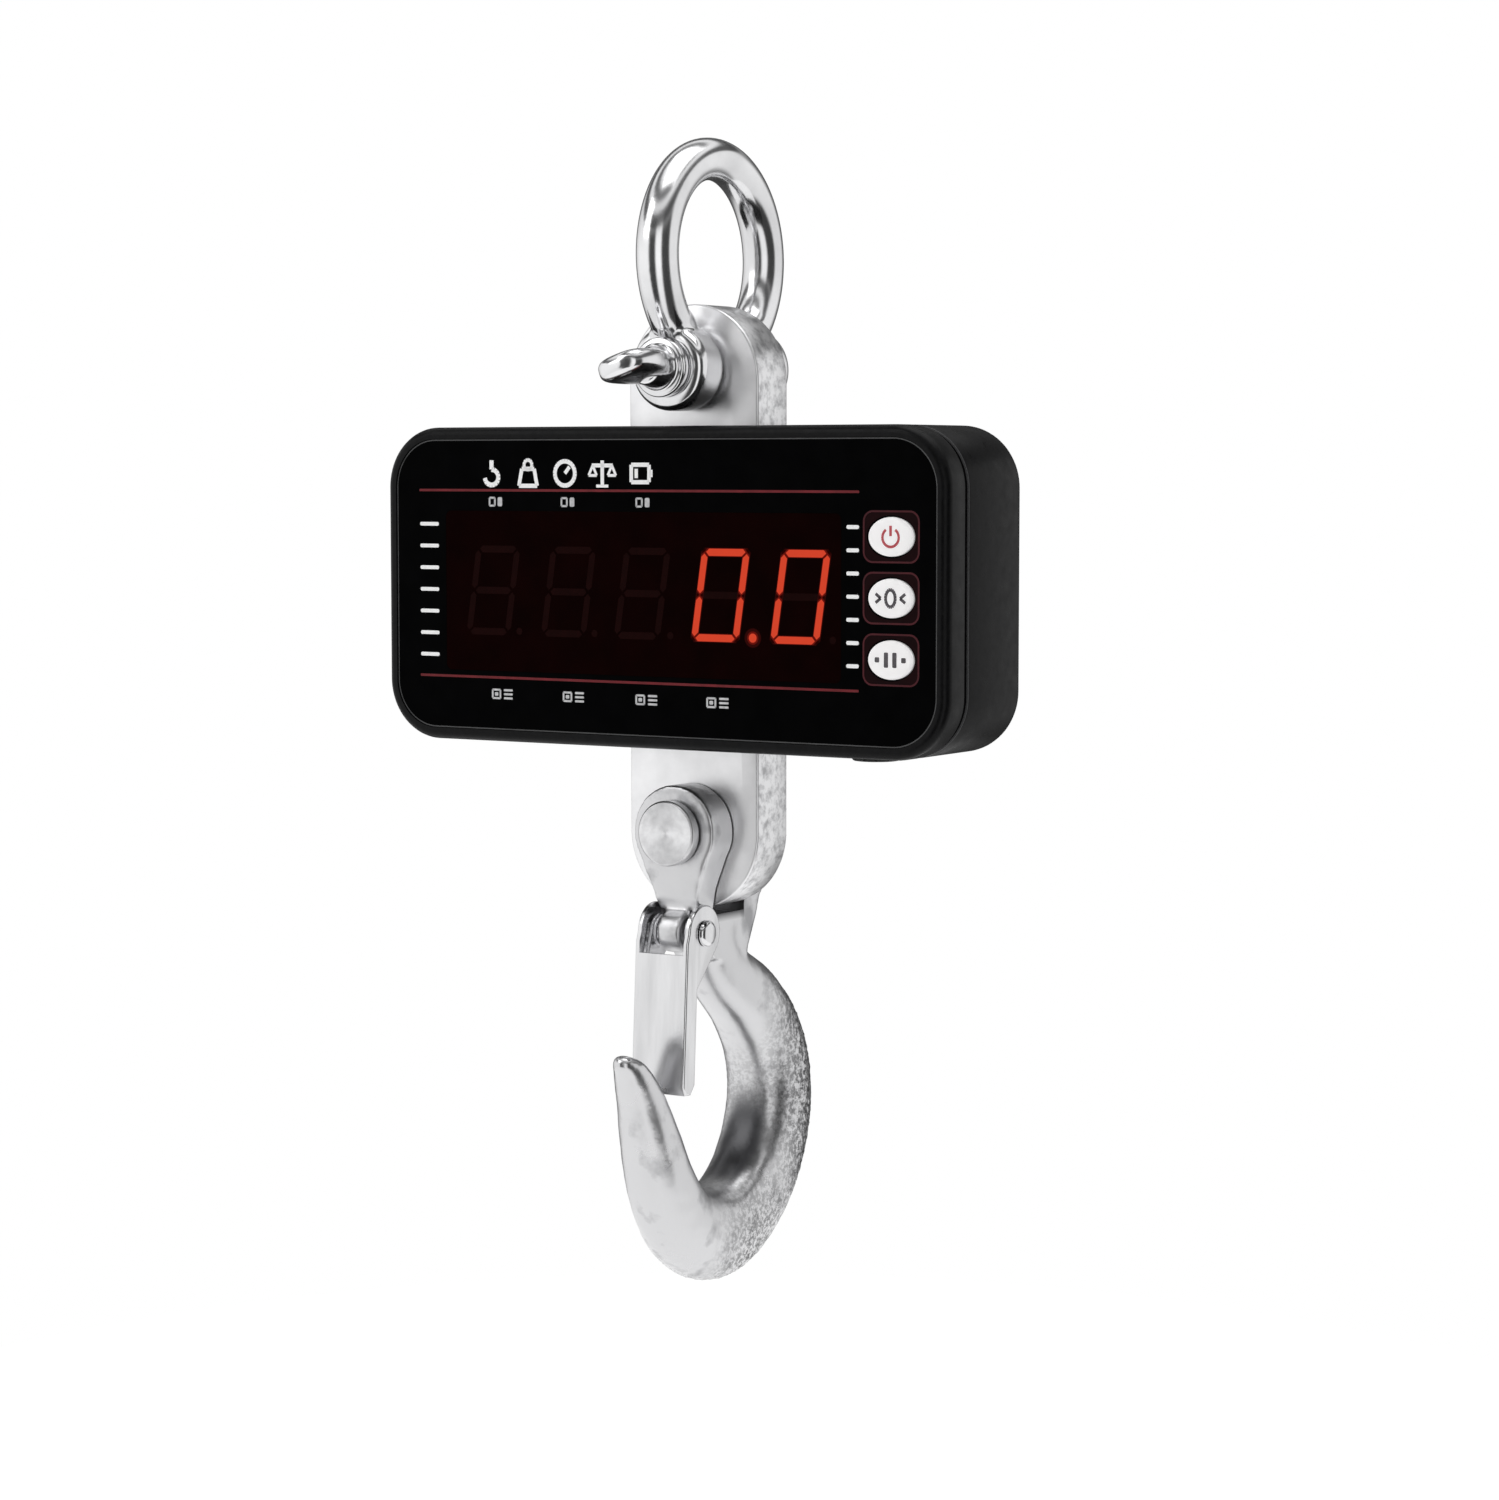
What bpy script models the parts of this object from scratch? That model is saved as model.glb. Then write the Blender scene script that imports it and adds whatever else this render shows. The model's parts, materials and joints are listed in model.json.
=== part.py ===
"""Hanging hook scale: screw-pin shackle, load-cell plate, LED housing and clevis hook with a latch.

Lengths are in millimetres until an object is placed, and metres in the scene.
+Z is up, the display faces -Y, and +X is to the right of a person who reads the display.
The origin is the hang point: the inside of the bow's crown, in the bow's own plane.
"""

import math

import bmesh
import bpy
from mathutils import Matrix, Vector

MM = 0.001
GAP = 0.3                       # clearance that touching pieces keep

# Shackle
BOW_WIRE_R = 6.5
BOW_RING_R = 30.0               # crown circle, at the centre of the wire
BOW_ARC_END = 40.0              # degrees below the horizontal where the crown circle ends
HANG_TO_PIN = 57.2
JAW = 24.0
EYE_R = 13.0
EYE_T = 14.0
SCREW_PIN_R = 7.0
COLLAR_R = 9.0
COLLAR_T = 3.6
WING_REACH = 24.0               # wing tip ahead of the collar
WING_ROLL = math.radians(-18.0)

# Load plate
PIN_SPACING = 140.5
PLATE_W = 46.4
PLATE_T = 17.0
PLATE_Y = -2.0                  # the plate sits a little forward in the bow's jaw
PLATE_TOP = 3.8                 # round end's centre below the shackle pin
PLATE_BOTTOM = 1.0              # round end's centre below the clevis pin
POCKET = (30.0, 22.0, 2.6)      # gauge pocket: width, height, depth

# Housing
PIN_TO_HOUSING = 66.0
SHELL_W = 201.0
SHELL_H = 97.0
CORNER_R = 18.5
WALL = 2.5
FRONT_DEPTH = 10.5
REAR_START = 12.3
SHELL_DEPTH = 48.0
PLATE_DEPTH = 30.2              # housing front to the plate's mid-plane
SLOT_W = 50.0
SLOT_T = 22.0

# Front panel
OVERLAY_INSET = 3.9
OVERLAY_TOP = 0.5
OVERLAY_T = 1.0
WINDOW_X = (-77.8, 64.8)
WINDOW_Z = (-26.6, 22.8)
WINDOW_T = 1.7
DIGIT_X = (-60.8, -33.2, -5.6, 22.0, 49.6)
DIGIT_Z = -1.6
DIGIT_SIZE = (26.6, 8.0, 36.0)
DIGIT_FRONT = 3.0
BOARD_FRONT = 11.3
BOARD_T = 1.6
KEY_X = 81.5
KEY_Z = {"power": 16.2, "zero": -1.5, "hold": -19.3}
KEY_RX = 7.6
KEY_RZ = 5.7

# Hook
CLEVIS_PIN_R = 7.0
CLEVIS_HEAD_R = 10.0
CLEVIS_HEAD_T = 3.8
FORK_SLOT = 17.7
FORK_OUT = 41.0
EAR_R = 14.8
CROTCH_R = 27.0
HOOK_KEEP = 0.07                # share of the fused mesh's faces that stays
LATCH_AXIS = (-16.8, -30.5)     # y and z from the clevis pin's centre
LATCH_TILT = math.radians(3.2)
LATCH_SHEET = 1.6
LATCH_OUT = 9.6
LATCH_FACE = 9.5
LATCH_LENGTH = 49.0
RIVET_R = 2.6

PIN_Z = -HANG_TO_PIN
LOW_PIN_Z = PIN_Z - PIN_SPACING
HOUSING_Z = PIN_Z - PIN_TO_HOUSING
FRONT_Y = PLATE_Y - PLATE_DEPTH
SCREW_AT = ((-87.5, 35.5), (87.5, 35.5), (-87.5, -35.5), (87.5, -35.5))
BOARD_SCREW_AT = ((-70.0, 34.0), (66.0, 34.0), (-70.0, -34.0), (66.0, -34.0))
MAIN_BOARD = (58.0, 58.0)       # width and height
MAIN_BOARD_X = 60.0
MAIN_BOARD_DEPTH = 38.2
MAIN_SCREW_AT = ((34.5, 24.5), (85.5, -24.5))
CELL_R = 9.4
CELL_LENGTH = 66.0
PACK_X = -62.0
PACK_DEPTH = 33.0
CLAMP_FOOT_X = 28.0
JACK_X = 62.0
JACK_DEPTH = 26.0


# ---------------------------------------------------------------- general tools

def material(name, colour, roughness, metallic):
    mat = bpy.data.materials.new(name)
    mat.use_nodes = True
    shader = mat.node_tree.nodes["Principled BSDF"]
    shader.inputs["Base Color"].default_value = (*colour, 1.0)
    shader.inputs["Roughness"].default_value = roughness
    shader.inputs["Metallic"].default_value = metallic
    mat.diffuse_color = (*colour, 1.0)
    return mat


STEEL = ((0.72, 0.72, 0.73), 0.3, 1.0)
POLISHED = ((0.82, 0.82, 0.83), 0.12, 1.0)
BLACK_PLASTIC = ((0.02, 0.02, 0.022), 0.35, 0.0)
RUBBER = ((0.03, 0.03, 0.03), 0.8, 0.0)
BOARD_GREEN = ((0.02, 0.14, 0.06), 0.5, 0.0)
CHIP = ((0.03, 0.03, 0.03), 0.5, 0.0)


def solid_from(verts, faces):
    """A temporary mesh object in millimetres."""
    mesh = bpy.data.meshes.new("solid")
    mesh.from_pydata([tuple(v) for v in verts], [], faces)
    bm = bmesh.new()
    bm.from_mesh(mesh)
    bmesh.ops.remove_doubles(bm, verts=bm.verts, dist=1e-4)
    bmesh.ops.recalc_face_normals(bm, faces=bm.faces)
    bm.to_mesh(mesh)
    bm.free()
    obj = bpy.data.objects.new("solid", mesh)
    bpy.context.scene.collection.objects.link(obj)
    return obj


def loft(rings):
    """A closed solid through equal rings of points, with a flat cap at each end."""
    count = len(rings[0])
    verts = [p for ring in rings for p in ring]
    faces = [tuple(range(count))]
    for row in range(len(rings) - 1):
        for i in range(count):
            j = (i + 1) % count
            a, b = row * count, (row + 1) * count
            faces.append((a + i, a + j, b + j, b + i))
    last = (len(rings) - 1) * count
    faces.append(tuple(last + i for i in reversed(range(count))))
    return solid_from(verts, faces)


def prism_y(outline, y0, y1):
    """Extrudes an outline of (x, z) points from y0 to y1."""
    return loft([[(x, y, z) for x, z in outline] for y in (y0, y1)])


def prism_x(outline, x0, x1):
    """Extrudes an outline of (y, z) points from x0 to x1."""
    return loft([[(x, y, z) for y, z in outline] for x in (x0, x1)])


def prism_z(outline, z0, z1):
    """Extrudes an outline of (x, y) points from z0 to z1."""
    return loft([[(x, y, z) for x, y in outline] for z in (z0, z1)])


def circle(radius, sides, at=(0.0, 0.0), squash=1.0):
    step = 2 * math.pi / sides
    return [
        (at[0] + radius * math.cos(i * step), at[1] + squash * radius * math.sin(i * step))
        for i in range(sides)
    ]


def rounded_rect(width, height, radius, steps=6, at=(0.0, 0.0)):
    points = []
    for corner in range(4):
        sx = 1 if corner in (0, 3) else -1
        sz = 1 if corner in (0, 1) else -1
        cx = at[0] + sx * (width / 2 - radius)
        cz = at[1] + sz * (height / 2 - radius)
        for i in range(steps + 1):
            a = math.radians(90 * corner + 90 * i / steps)
            points.append((cx + radius * math.cos(a), cz + radius * math.sin(a)))
    return points


def turned(profile, sides, axis="Y"):
    """Turns a profile of (radius, height) points about the axis. It starts and ends on the axis."""
    inner = profile[1:-1]
    verts = [(0.0, 0.0, profile[0][1]), (0.0, 0.0, profile[-1][1])]
    for radius, height in inner:
        verts += [(x, y, height) for x, y in circle(radius, sides)]
    faces = []
    for i in range(sides):
        j = (i + 1) % sides
        faces.append((0, 2 + i, 2 + j))
        last = 2 + (len(inner) - 1) * sides
        faces.append((1, last + j, last + i))
        for row in range(len(inner) - 1):
            a = 2 + row * sides
            faces.append((a + i, a + sides + i, a + sides + j, a + j))
    obj = solid_from(verts, faces)
    turns = {"Y": Matrix.Rotation(-math.pi / 2, 4, "X"), "X": Matrix.Rotation(math.pi / 2, 4, "Y")}
    if axis in turns:
        obj.data.transform(turns[axis])
    return obj


def cylinder(radius, low, high, axis="Y", sides=32):
    return turned([(0, low), (radius, low), (radius, high), (0, high)], sides, axis)


def moved(obj, x=0.0, y=0.0, z=0.0):
    obj.data.transform(Matrix.Translation((x, y, z)))
    return obj


def boolean(obj, other, operation):
    modifier = obj.modifiers.new("cut", "BOOLEAN")
    modifier.operation = operation
    modifier.solver = "EXACT"
    modifier.object = other
    graph = bpy.context.evaluated_depsgraph_get()
    result = bpy.data.meshes.new_from_object(obj.evaluated_get(graph))
    obj.modifiers.clear()
    obj.data = result
    bpy.data.objects.remove(other)
    return obj


def cut(obj, *tools):
    for tool in tools:
        boolean(obj, tool, "DIFFERENCE")
    return obj


def join(obj, *others):
    for other in others:
        boolean(obj, other, "UNION")
    return obj


def bevel(obj, width, segments=2, angle=40.0):
    """Rounds every edge sharper than the angle."""
    bm = bmesh.new()
    bm.from_mesh(obj.data)
    limit = math.radians(angle)
    edges = [e for e in bm.edges if len(e.link_faces) == 2 and e.calc_face_angle() > limit]
    bmesh.ops.bevel(
        bm, geom=edges, offset=width, segments=segments, profile=0.5, affect="EDGES", clamp_overlap=True
    )
    bm.to_mesh(obj.data)
    bm.free()
    return obj


def smooth_through(points, per_span):
    """Catmull-Rom curve through points of any size, as a list of tuples."""
    ends = [tuple(2 * a - b for a, b in zip(points[0], points[1]))]
    tail = [tuple(2 * a - b for a, b in zip(points[-1], points[-2]))]
    p = ends + list(points) + tail
    out = []
    for i in range(1, len(p) - 2):
        for k in range(per_span):
            t = k / per_span
            out.append(tuple(
                0.5 * (2 * b + (c - a) * t + (2 * a - 5 * b + 4 * c - d) * t * t
                       + (3 * b - a - 3 * c + d) * t ** 3)
                for a, b, c, d in zip(p[i - 1], p[i], p[i + 1], p[i + 2])
            ))
    out.append(tuple(points[-1]))
    return out


def tube(path, radius, sides):
    """A round tube along a path in space, with flat ends and no twist."""
    pts = [Vector(p) for p in path]
    rings = []
    normal = None
    for i, point in enumerate(pts):
        ahead = pts[min(i + 1, len(pts) - 1)] - pts[max(i - 1, 0)]
        tangent = ahead.normalized()
        if normal is None:
            normal = tangent.orthogonal().normalized()
        normal = (normal - tangent * normal.dot(tangent)).normalized()
        side = tangent.cross(normal)
        rings.append([
            tuple(point + radius * (math.cos(a) * normal + math.sin(a) * side))
            for a in (2 * math.pi * k / sides for k in range(sides))
        ])
    return loft(rings)


def finish(obj, name, look, origin=(0.0, 0.0, 0.0), smooth=35.0):
    """Names the solid, scales it to metres, puts its origin in place and gives it a material."""
    obj.name = name
    obj.data.name = name
    obj.data.transform(Matrix.Scale(MM, 4) @ Matrix.Translation([-c for c in origin]))
    obj.location = [c * MM for c in origin]
    obj.data.materials.clear()
    obj.data.materials.append(material(name, *look))
    obj.data.shade_smooth()
    obj.data.set_sharp_from_angle(angle=math.radians(smooth))
    return obj


def screw(name, at, head_y, tip_y, head_r, shaft_r, head_t):
    """A screw along Y at (x, z), with its head's outer face at head_y and a hexagonal socket."""
    way = 1.0 if tip_y > head_y else -1.0
    under = head_y + way * head_t
    profile = [
        (0, head_y), (head_r, head_y), (head_r, under), (shaft_r, under), (shaft_r, tip_y), (0, tip_y),
    ]
    body = turned(profile, 10)
    socket = prism_y(circle(head_r * 0.5, 6), head_y - way, head_y + way * head_t * 0.55)
    cut(body, socket)
    return finish(moved(body, at[0], 0.0, at[1]), name, STEEL)


# ---------------------------------------------------------------- shackle

def bow_path():
    """Centre line of the bow in the YZ plane: a crown arc with legs that close in on the eyes."""
    centre_z = BOW_WIRE_R - BOW_RING_R
    end = math.radians(BOW_ARC_END)
    eye_y = JAW / 2 + EYE_T / 2
    steps = 26
    arc = []
    for i in range(steps + 1):
        a = -end + (math.pi + 2 * end) * i / steps
        arc.append((BOW_RING_R * math.cos(a), centre_z + BOW_RING_R * math.sin(a)))
    leg = [(eye_y, PIN_Z + 3.0), (eye_y + 0.1, PIN_Z + 8.0), (eye_y + 0.9, PIN_Z + 12.0)]
    right = [(0.0, y, z) for y, z in leg]
    left = [(0.0, -y, z) for y, z in reversed(leg)]
    return right + [(0.0, y, z) for y, z in arc] + left


def shackle_bow():
    bow = tube(bow_path(), BOW_WIRE_R, 16)
    for side in (-1, 1):
        inner = side * JAW / 2
        outer = side * (JAW / 2 + EYE_T)
        low, high = min(inner, outer), max(inner, outer)
        eye = turned([
            (0, low), (EYE_R - 2.2, low), (EYE_R - 0.6, low + 0.7), (EYE_R, low + 2.4),
            (EYE_R, high - 2.4), (EYE_R - 0.6, high - 0.7), (EYE_R - 2.2, high), (0, high),
        ], 28)
        join(bow, moved(eye, z=PIN_Z))
    half = JAW / 2 + EYE_T + 1
    cut(bow, moved(cylinder(SCREW_PIN_R + 0.4, -half, half), z=PIN_Z))
    return finish(bow, "shackle_bow", POLISHED)


def shackle_pin():
    """Screw pin: collar and flattened, drilled wing in front, threaded end behind."""
    front = -(JAW / 2 + EYE_T) - GAP
    back = JAW / 2 + EYE_T + 2.5
    pin = turned([
        (0, front - COLLAR_T - 8), (5.2, front - COLLAR_T - 8), (6.6, front - COLLAR_T),
        (COLLAR_R - 0.8, front - COLLAR_T), (COLLAR_R, front - COLLAR_T + 0.9),
        (COLLAR_R, front - 0.7), (COLLAR_R - 0.7, front), (SCREW_PIN_R, front),
        (SCREW_PIN_R, back - 1.5), (SCREW_PIN_R - 1.3, back), (0, back),
    ], 24)
    wing_start = front - COLLAR_T - 1.0
    wing_end = front - COLLAR_T - WING_REACH
    outline = [
        (-6.4, wing_start), (-8.2, wing_start - 6), (-8.6, wing_end + 7), (-6.6, wing_end + 2),
        (-2.8, wing_end), (2.8, wing_end), (6.6, wing_end + 2), (8.6, wing_end + 7),
        (8.2, wing_start - 6), (6.4, wing_start),
    ]
    wing = bevel(prism_z(outline, -3.7, 3.7), 1.4, 2, 60)
    cut(wing, prism_z(circle(2.9, 14, at=(0.0, wing_end + 8.5)), -6, 6))
    wing.data.transform(Matrix.Rotation(WING_ROLL, 4, "Y"))
    join(pin, wing)
    return finish(moved(pin, z=PIN_Z), "shackle_pin", POLISHED, (0, 0, PIN_Z))


# ---------------------------------------------------------------- load plate

def stadium(width, straight, sides=14):
    """Outline in XZ with a half circle at each end. The circles' centres are at 0 and -straight."""
    radius = width / 2
    points = []
    for i in range(sides + 1):
        a = math.pi * i / sides
        points.append((radius * math.cos(a), radius * math.sin(a)))
    for i in range(sides + 1):
        a = math.pi + math.pi * i / sides
        points.append((radius * math.cos(a), -straight + radius * math.sin(a)))
    return points


def load_cell_plate():
    """Flat bar that carries the load. Its gauge pockets are hidden in the housing."""
    front, back = PLATE_Y - PLATE_T / 2, PLATE_Y + PLATE_T / 2
    straight = PIN_SPACING - PLATE_TOP + PLATE_BOTTOM
    plate = moved(prism_y(stadium(PLATE_W, straight), front, back), z=PIN_Z - PLATE_TOP)
    bevel(plate, 0.6, 1, 60)
    cut(plate, moved(cylinder(SCREW_PIN_R + 0.4, front - 1, back + 1), z=PIN_Z))
    cut(plate, moved(cylinder(CLEVIS_PIN_R + 0.4, front - 1, back + 1), z=LOW_PIN_Z))
    width, height, depth = POCKET
    pocket = rounded_rect(width, height, 3, 3, (0, HOUSING_Z))
    cut(plate, prism_y(pocket, front - 1, front + depth), prism_y(pocket, back - depth, back + 1))
    for z in (HOUSING_Z + 26, HOUSING_Z - 26):
        cut(plate, moved(cylinder(2.6, back - 9, back + 1, sides=12), z=z))
    return finish(plate, "load_cell_plate", STEEL, (0, 0, PIN_Z))


def gauges():
    width, height, depth = POCKET
    for name, face, way in (("front", PLATE_Y - PLATE_T / 2, 1), ("rear", PLATE_Y + PLATE_T / 2, -1)):
        floor = face + way * (depth - GAP)
        patch = prism_y(rounded_rect(18, 10, 1.5, 2, (0, HOUSING_Z)), *sorted((floor, floor - way * 0.5)))
        finish(patch, f"strain_gauge_{name}", ((0.75, 0.45, 0.12), 0.4, 0.2))
        top = face + way * 0.3
        pad = prism_y(
            rounded_rect(width - 0.8, height - 0.8, 2.6, 3, (0, HOUSING_Z)),
            *sorted((top, floor - way * 0.8)),
        )
        finish(pad, f"gauge_potting_{name}", ((0.75, 0.74, 0.7), 0.5, 0.0))


# ---------------------------------------------------------------- housing shells

def housing(points):
    """Moves an outline from the housing's centre to its height."""
    return [(x, z + HOUSING_Z) for x, z in points]


def depth(value):
    """World Y of a depth behind the housing's front plane."""
    return FRONT_Y + value


def shell_rings(steps):
    """Rings of the shell's outside: each step is an inset and a depth."""
    rings = []
    for inset, deep in steps:
        outline = rounded_rect(SHELL_W - 2 * inset, SHELL_H - 2 * inset, CORNER_R - inset, 6)
        rings.append([(x, depth(deep), z) for x, z in housing(outline)])
    return rings


def front_shell():
    shell = loft(shell_rings([
        (2.6, 0.0), (1.4, 0.3), (0.4, 1.1), (0.0, 2.8), (0.0, FRONT_DEPTH - 0.8), (0.5, FRONT_DEPTH),
    ]))
    inside = rounded_rect(SHELL_W - 2 * WALL, SHELL_H - 2 * WALL, CORNER_R - WALL, 5)
    cut(shell, prism_y(housing(inside), depth(4.0), depth(FRONT_DEPTH + 1)))
    inset = OVERLAY_INSET - GAP
    panel = rounded_rect(SHELL_W - 2 * inset, SHELL_H - 2 * inset, CORNER_R - inset, 6)
    cut(shell, prism_y(housing(panel), depth(-1), depth(OVERLAY_TOP + OVERLAY_T + GAP)))
    for x, z in SCREW_AT:
        boss = prism_y(circle(5.0, 14, (x, z + HOUSING_Z)), depth(3.8), depth(FRONT_DEPTH + 0.6))
        join(shell, boss)
        cut(shell, prism_y(circle(2.1, 10, (x, z + HOUSING_Z)), depth(5.0), depth(13)))
    for x, z in BOARD_SCREW_AT:
        boss = prism_y(circle(3.6, 12, (x, z + HOUSING_Z)), depth(3.8), depth(BOARD_FRONT - GAP))
        join(shell, boss)
        cut(shell, prism_y(circle(1.7, 8, (x, z + HOUSING_Z)), depth(5.0), depth(13)))
    cut(shell, prism_y(window_outline(-GAP), depth(0), depth(5)))
    for z in KEY_Z.values():
        cut(shell, prism_y(circle(4.3, 16, (KEY_X, z + HOUSING_Z)), depth(0), depth(5)))
    return finish(shell, "front_shell", BLACK_PLASTIC)


def rear_shell():
    back = SHELL_DEPTH
    shell = loft(shell_rings([
        (0.9, REAR_START), (0.25, REAR_START + 0.3), (0.0, REAR_START + 1.0), (0.0, back - 6.0),
        (0.5, back - 3.6), (2.0, back - 1.4), (4.2, back - 0.35), (6.5, back),
    ]))
    inside = rounded_rect(SHELL_W - 2 * WALL, SHELL_H - 2 * WALL, CORNER_R - WALL, 5)
    cut(shell, prism_y(housing(inside), depth(REAR_START - 1), depth(back - WALL)))
    for x, z in SCREW_AT:
        column = prism_y(circle(5.0, 14, (x, z + HOUSING_Z)), depth(REAR_START + 0.2), depth(back - 1.5))
        join(shell, column)
        cut(shell, prism_y(circle(2.1, 10, (x, z + HOUSING_Z)), depth(11), depth(back + 1)))
        cut(shell, prism_y(circle(3.7, 14, (x, z + HOUSING_Z)), depth(back - 3.4), depth(back + 1)))
    for x, z in MAIN_SCREW_AT:
        column = prism_y(
            circle(3.4, 12, (x, z + HOUSING_Z)), depth(MAIN_BOARD_DEPTH + BOARD_T + GAP), depth(back - 1.5)
        )
        join(shell, column)
        cut(shell, prism_y(circle(1.7, 8, (x, z + HOUSING_Z)), depth(30), depth(back - 1.4)))
    for z in (-CLAMP_FOOT_X, CLAMP_FOOT_X):
        cut(shell, prism_y(circle(1.7, 8, (PACK_X + z, HOUSING_Z)), depth(30), depth(back - 1.0)))
    slot = rounded_rect(SLOT_W, SLOT_T, 2.5, 3, (0, depth(PLATE_DEPTH)))
    cut(shell, prism_z(slot, HOUSING_Z - SHELL_H / 2 - 1, HOUSING_Z + SHELL_H / 2 + 1))
    for z in (26, -26):
        cut(shell, prism_y(circle(2.9, 12, (0, z + HOUSING_Z)), depth(40), depth(back + 1)))
        cut(shell, prism_y(circle(5.1, 18, (0, z + HOUSING_Z)), depth(back - 1.7), depth(back + 1)))
    low = HOUSING_Z - SHELL_H / 2
    cut(shell, moved(cylinder(6.0, low - 1, low + 4, "Z", 20), x=JACK_X, y=depth(JACK_DEPTH)))
    return finish(shell, "rear_shell", BLACK_PLASTIC)


def shell_seal():
    """Flat rubber ring in the groove between the shells."""
    low, high = depth(FRONT_DEPTH + 0.4), depth(REAR_START - 0.4)
    ring = prism_y(housing(rounded_rect(SHELL_W - 2.4, SHELL_H - 2.4, CORNER_R - 1.2, 5)), low, high)
    hole = rounded_rect(SHELL_W - 6.4, SHELL_H - 6.4, CORNER_R - 3.2, 5)
    cut(ring, prism_y(housing(hole), low - 1, high + 1))
    return finish(ring, "shell_seal", RUBBER)


def plate_seals():
    """Rubber collars that close the slots round the load plate."""
    middle = (0, depth(PLATE_DEPTH))
    top = HOUSING_Z + SHELL_H / 2
    bottom = HOUSING_Z - SHELL_H / 2
    for name, low in (("top_seal", top - WALL), ("bottom_seal", bottom)):
        ring = prism_z(rounded_rect(SLOT_W - 0.8, SLOT_T - 0.8, 2.2, 3, middle), low, low + WALL)
        hole = rounded_rect(PLATE_W + 0.7, PLATE_T + 0.7, 0.8, 1, middle)
        cut(ring, prism_z(hole, low - 1, low + WALL + 1))
        finish(ring, name, RUBBER)


# ---------------------------------------------------------------- front panel

def window_outline(inset):
    width = WINDOW_X[1] - WINDOW_X[0] - 2 * inset
    height = WINDOW_Z[1] - WINDOW_Z[0] - 2 * inset
    middle = (sum(WINDOW_X) / 2, sum(WINDOW_Z) / 2)
    return housing(rounded_rect(width, height, 2.0, 2, middle))


def front_overlay():
    outline = rounded_rect(
        SHELL_W - 2 * OVERLAY_INSET, SHELL_H - 2 * OVERLAY_INSET, CORNER_R - OVERLAY_INSET, 6
    )
    sheet = prism_y(housing(outline), depth(OVERLAY_TOP), depth(OVERLAY_TOP + OVERLAY_T))
    cut(sheet, prism_y(window_outline(-GAP), depth(0), depth(3)))
    for z in KEY_Z.values():
        key = circle(KEY_RX + 0.35, 28, (KEY_X, z + HOUSING_Z), (KEY_RZ + 0.35) / (KEY_RX + 0.35))
        cut(sheet, prism_y(key, depth(0), depth(3)))
    return finish(sheet, "front_overlay", ((0.01, 0.01, 0.012), 0.12, 0.0))


def display_window():
    pane = prism_y(window_outline(0), depth(OVERLAY_TOP), depth(OVERLAY_TOP + WINDOW_T))
    return finish(pane, "display_window", ((0.05, 0.004, 0.004), 0.1, 0.0))


def keys():
    """Three oval keys with stems, and the tactile switches that they press."""
    for name, z in KEY_Z.items():
        at = (KEY_X, z + HOUSING_Z)
        rings = []
        for inset, deep in ((0.7, 0.1), (0.2, 0.25), (0.0, 0.6), (0.0, 1.3)):
            ring = circle(KEY_RX - inset, 28, at, (KEY_RZ - inset) / (KEY_RX - inset))
            rings.append([(x, depth(deep), y) for x, y in ring])
        cap = loft(rings)
        join(cap, prism_y(circle(3.6, 16, at), depth(1.0), depth(6.0)))
        finish(cap, f"key_{name}", ((0.85, 0.84, 0.83), 0.35, 0.0), (KEY_X, depth(0), at[1]))
        switch = prism_y(rounded_rect(6.2, 6.2, 0.6, 1, at), depth(7.8), depth(BOARD_FRONT - GAP))
        join(switch, prism_y(circle(1.7, 12, at), depth(6.7), depth(8.0)))
        finish(switch, f"key_switch_{name}", CHIP)


def display_board():
    """Board behind the front panel, notched at its corners for the shells' bosses."""
    w, h, n = 93.5, 43.0, 13.0
    outline = [
        (-w + n, -h), (w - n, -h), (w - n, -h + n), (w, -h + n), (w, h - n), (w - n, h - n),
        (w - n, h), (-w + n, h), (-w + n, h - n), (-w, h - n), (-w, -h + n), (-w + n, -h + n),
    ]
    board = prism_y(housing(outline), depth(BOARD_FRONT), depth(BOARD_FRONT + BOARD_T))
    for x, z in BOARD_SCREW_AT:
        cut(board, prism_y(circle(1.9, 8, (x, z + HOUSING_Z)), depth(10), depth(14)))
    finish(board, "display_board", BOARD_GREEN)
    for number, (x, z) in enumerate(BOARD_SCREW_AT, 1):
        head = depth(BOARD_FRONT + BOARD_T + GAP + 1.5)
        screw(f"board_screw_{number}", (x, z + HOUSING_Z), head, depth(6.5), 2.7, 1.3, 1.5)


def digits():
    """Five seven-segment modules, with the display face towards the window."""
    width, thick, height = DIGIT_SIZE
    for number, x in enumerate(DIGIT_X, 1):
        outline = rounded_rect(width, height, 0.6, 1, (x, DIGIT_Z + HOUSING_Z))
        block = prism_y(outline, depth(DIGIT_FRONT), depth(DIGIT_FRONT + thick))
        finish(block, f"digit_module_{number}", ((0.06, 0.05, 0.05), 0.4, 0.0))


# ---------------------------------------------------------------- inside the housing

def block(name, x, z, width, height, deep0, deep1, look, radius=0.6):
    outline = housing(rounded_rect(width, height, radius, 1, (x, z)))
    return finish(prism_y(outline, depth(deep0), depth(deep1)), name, look)


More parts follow.
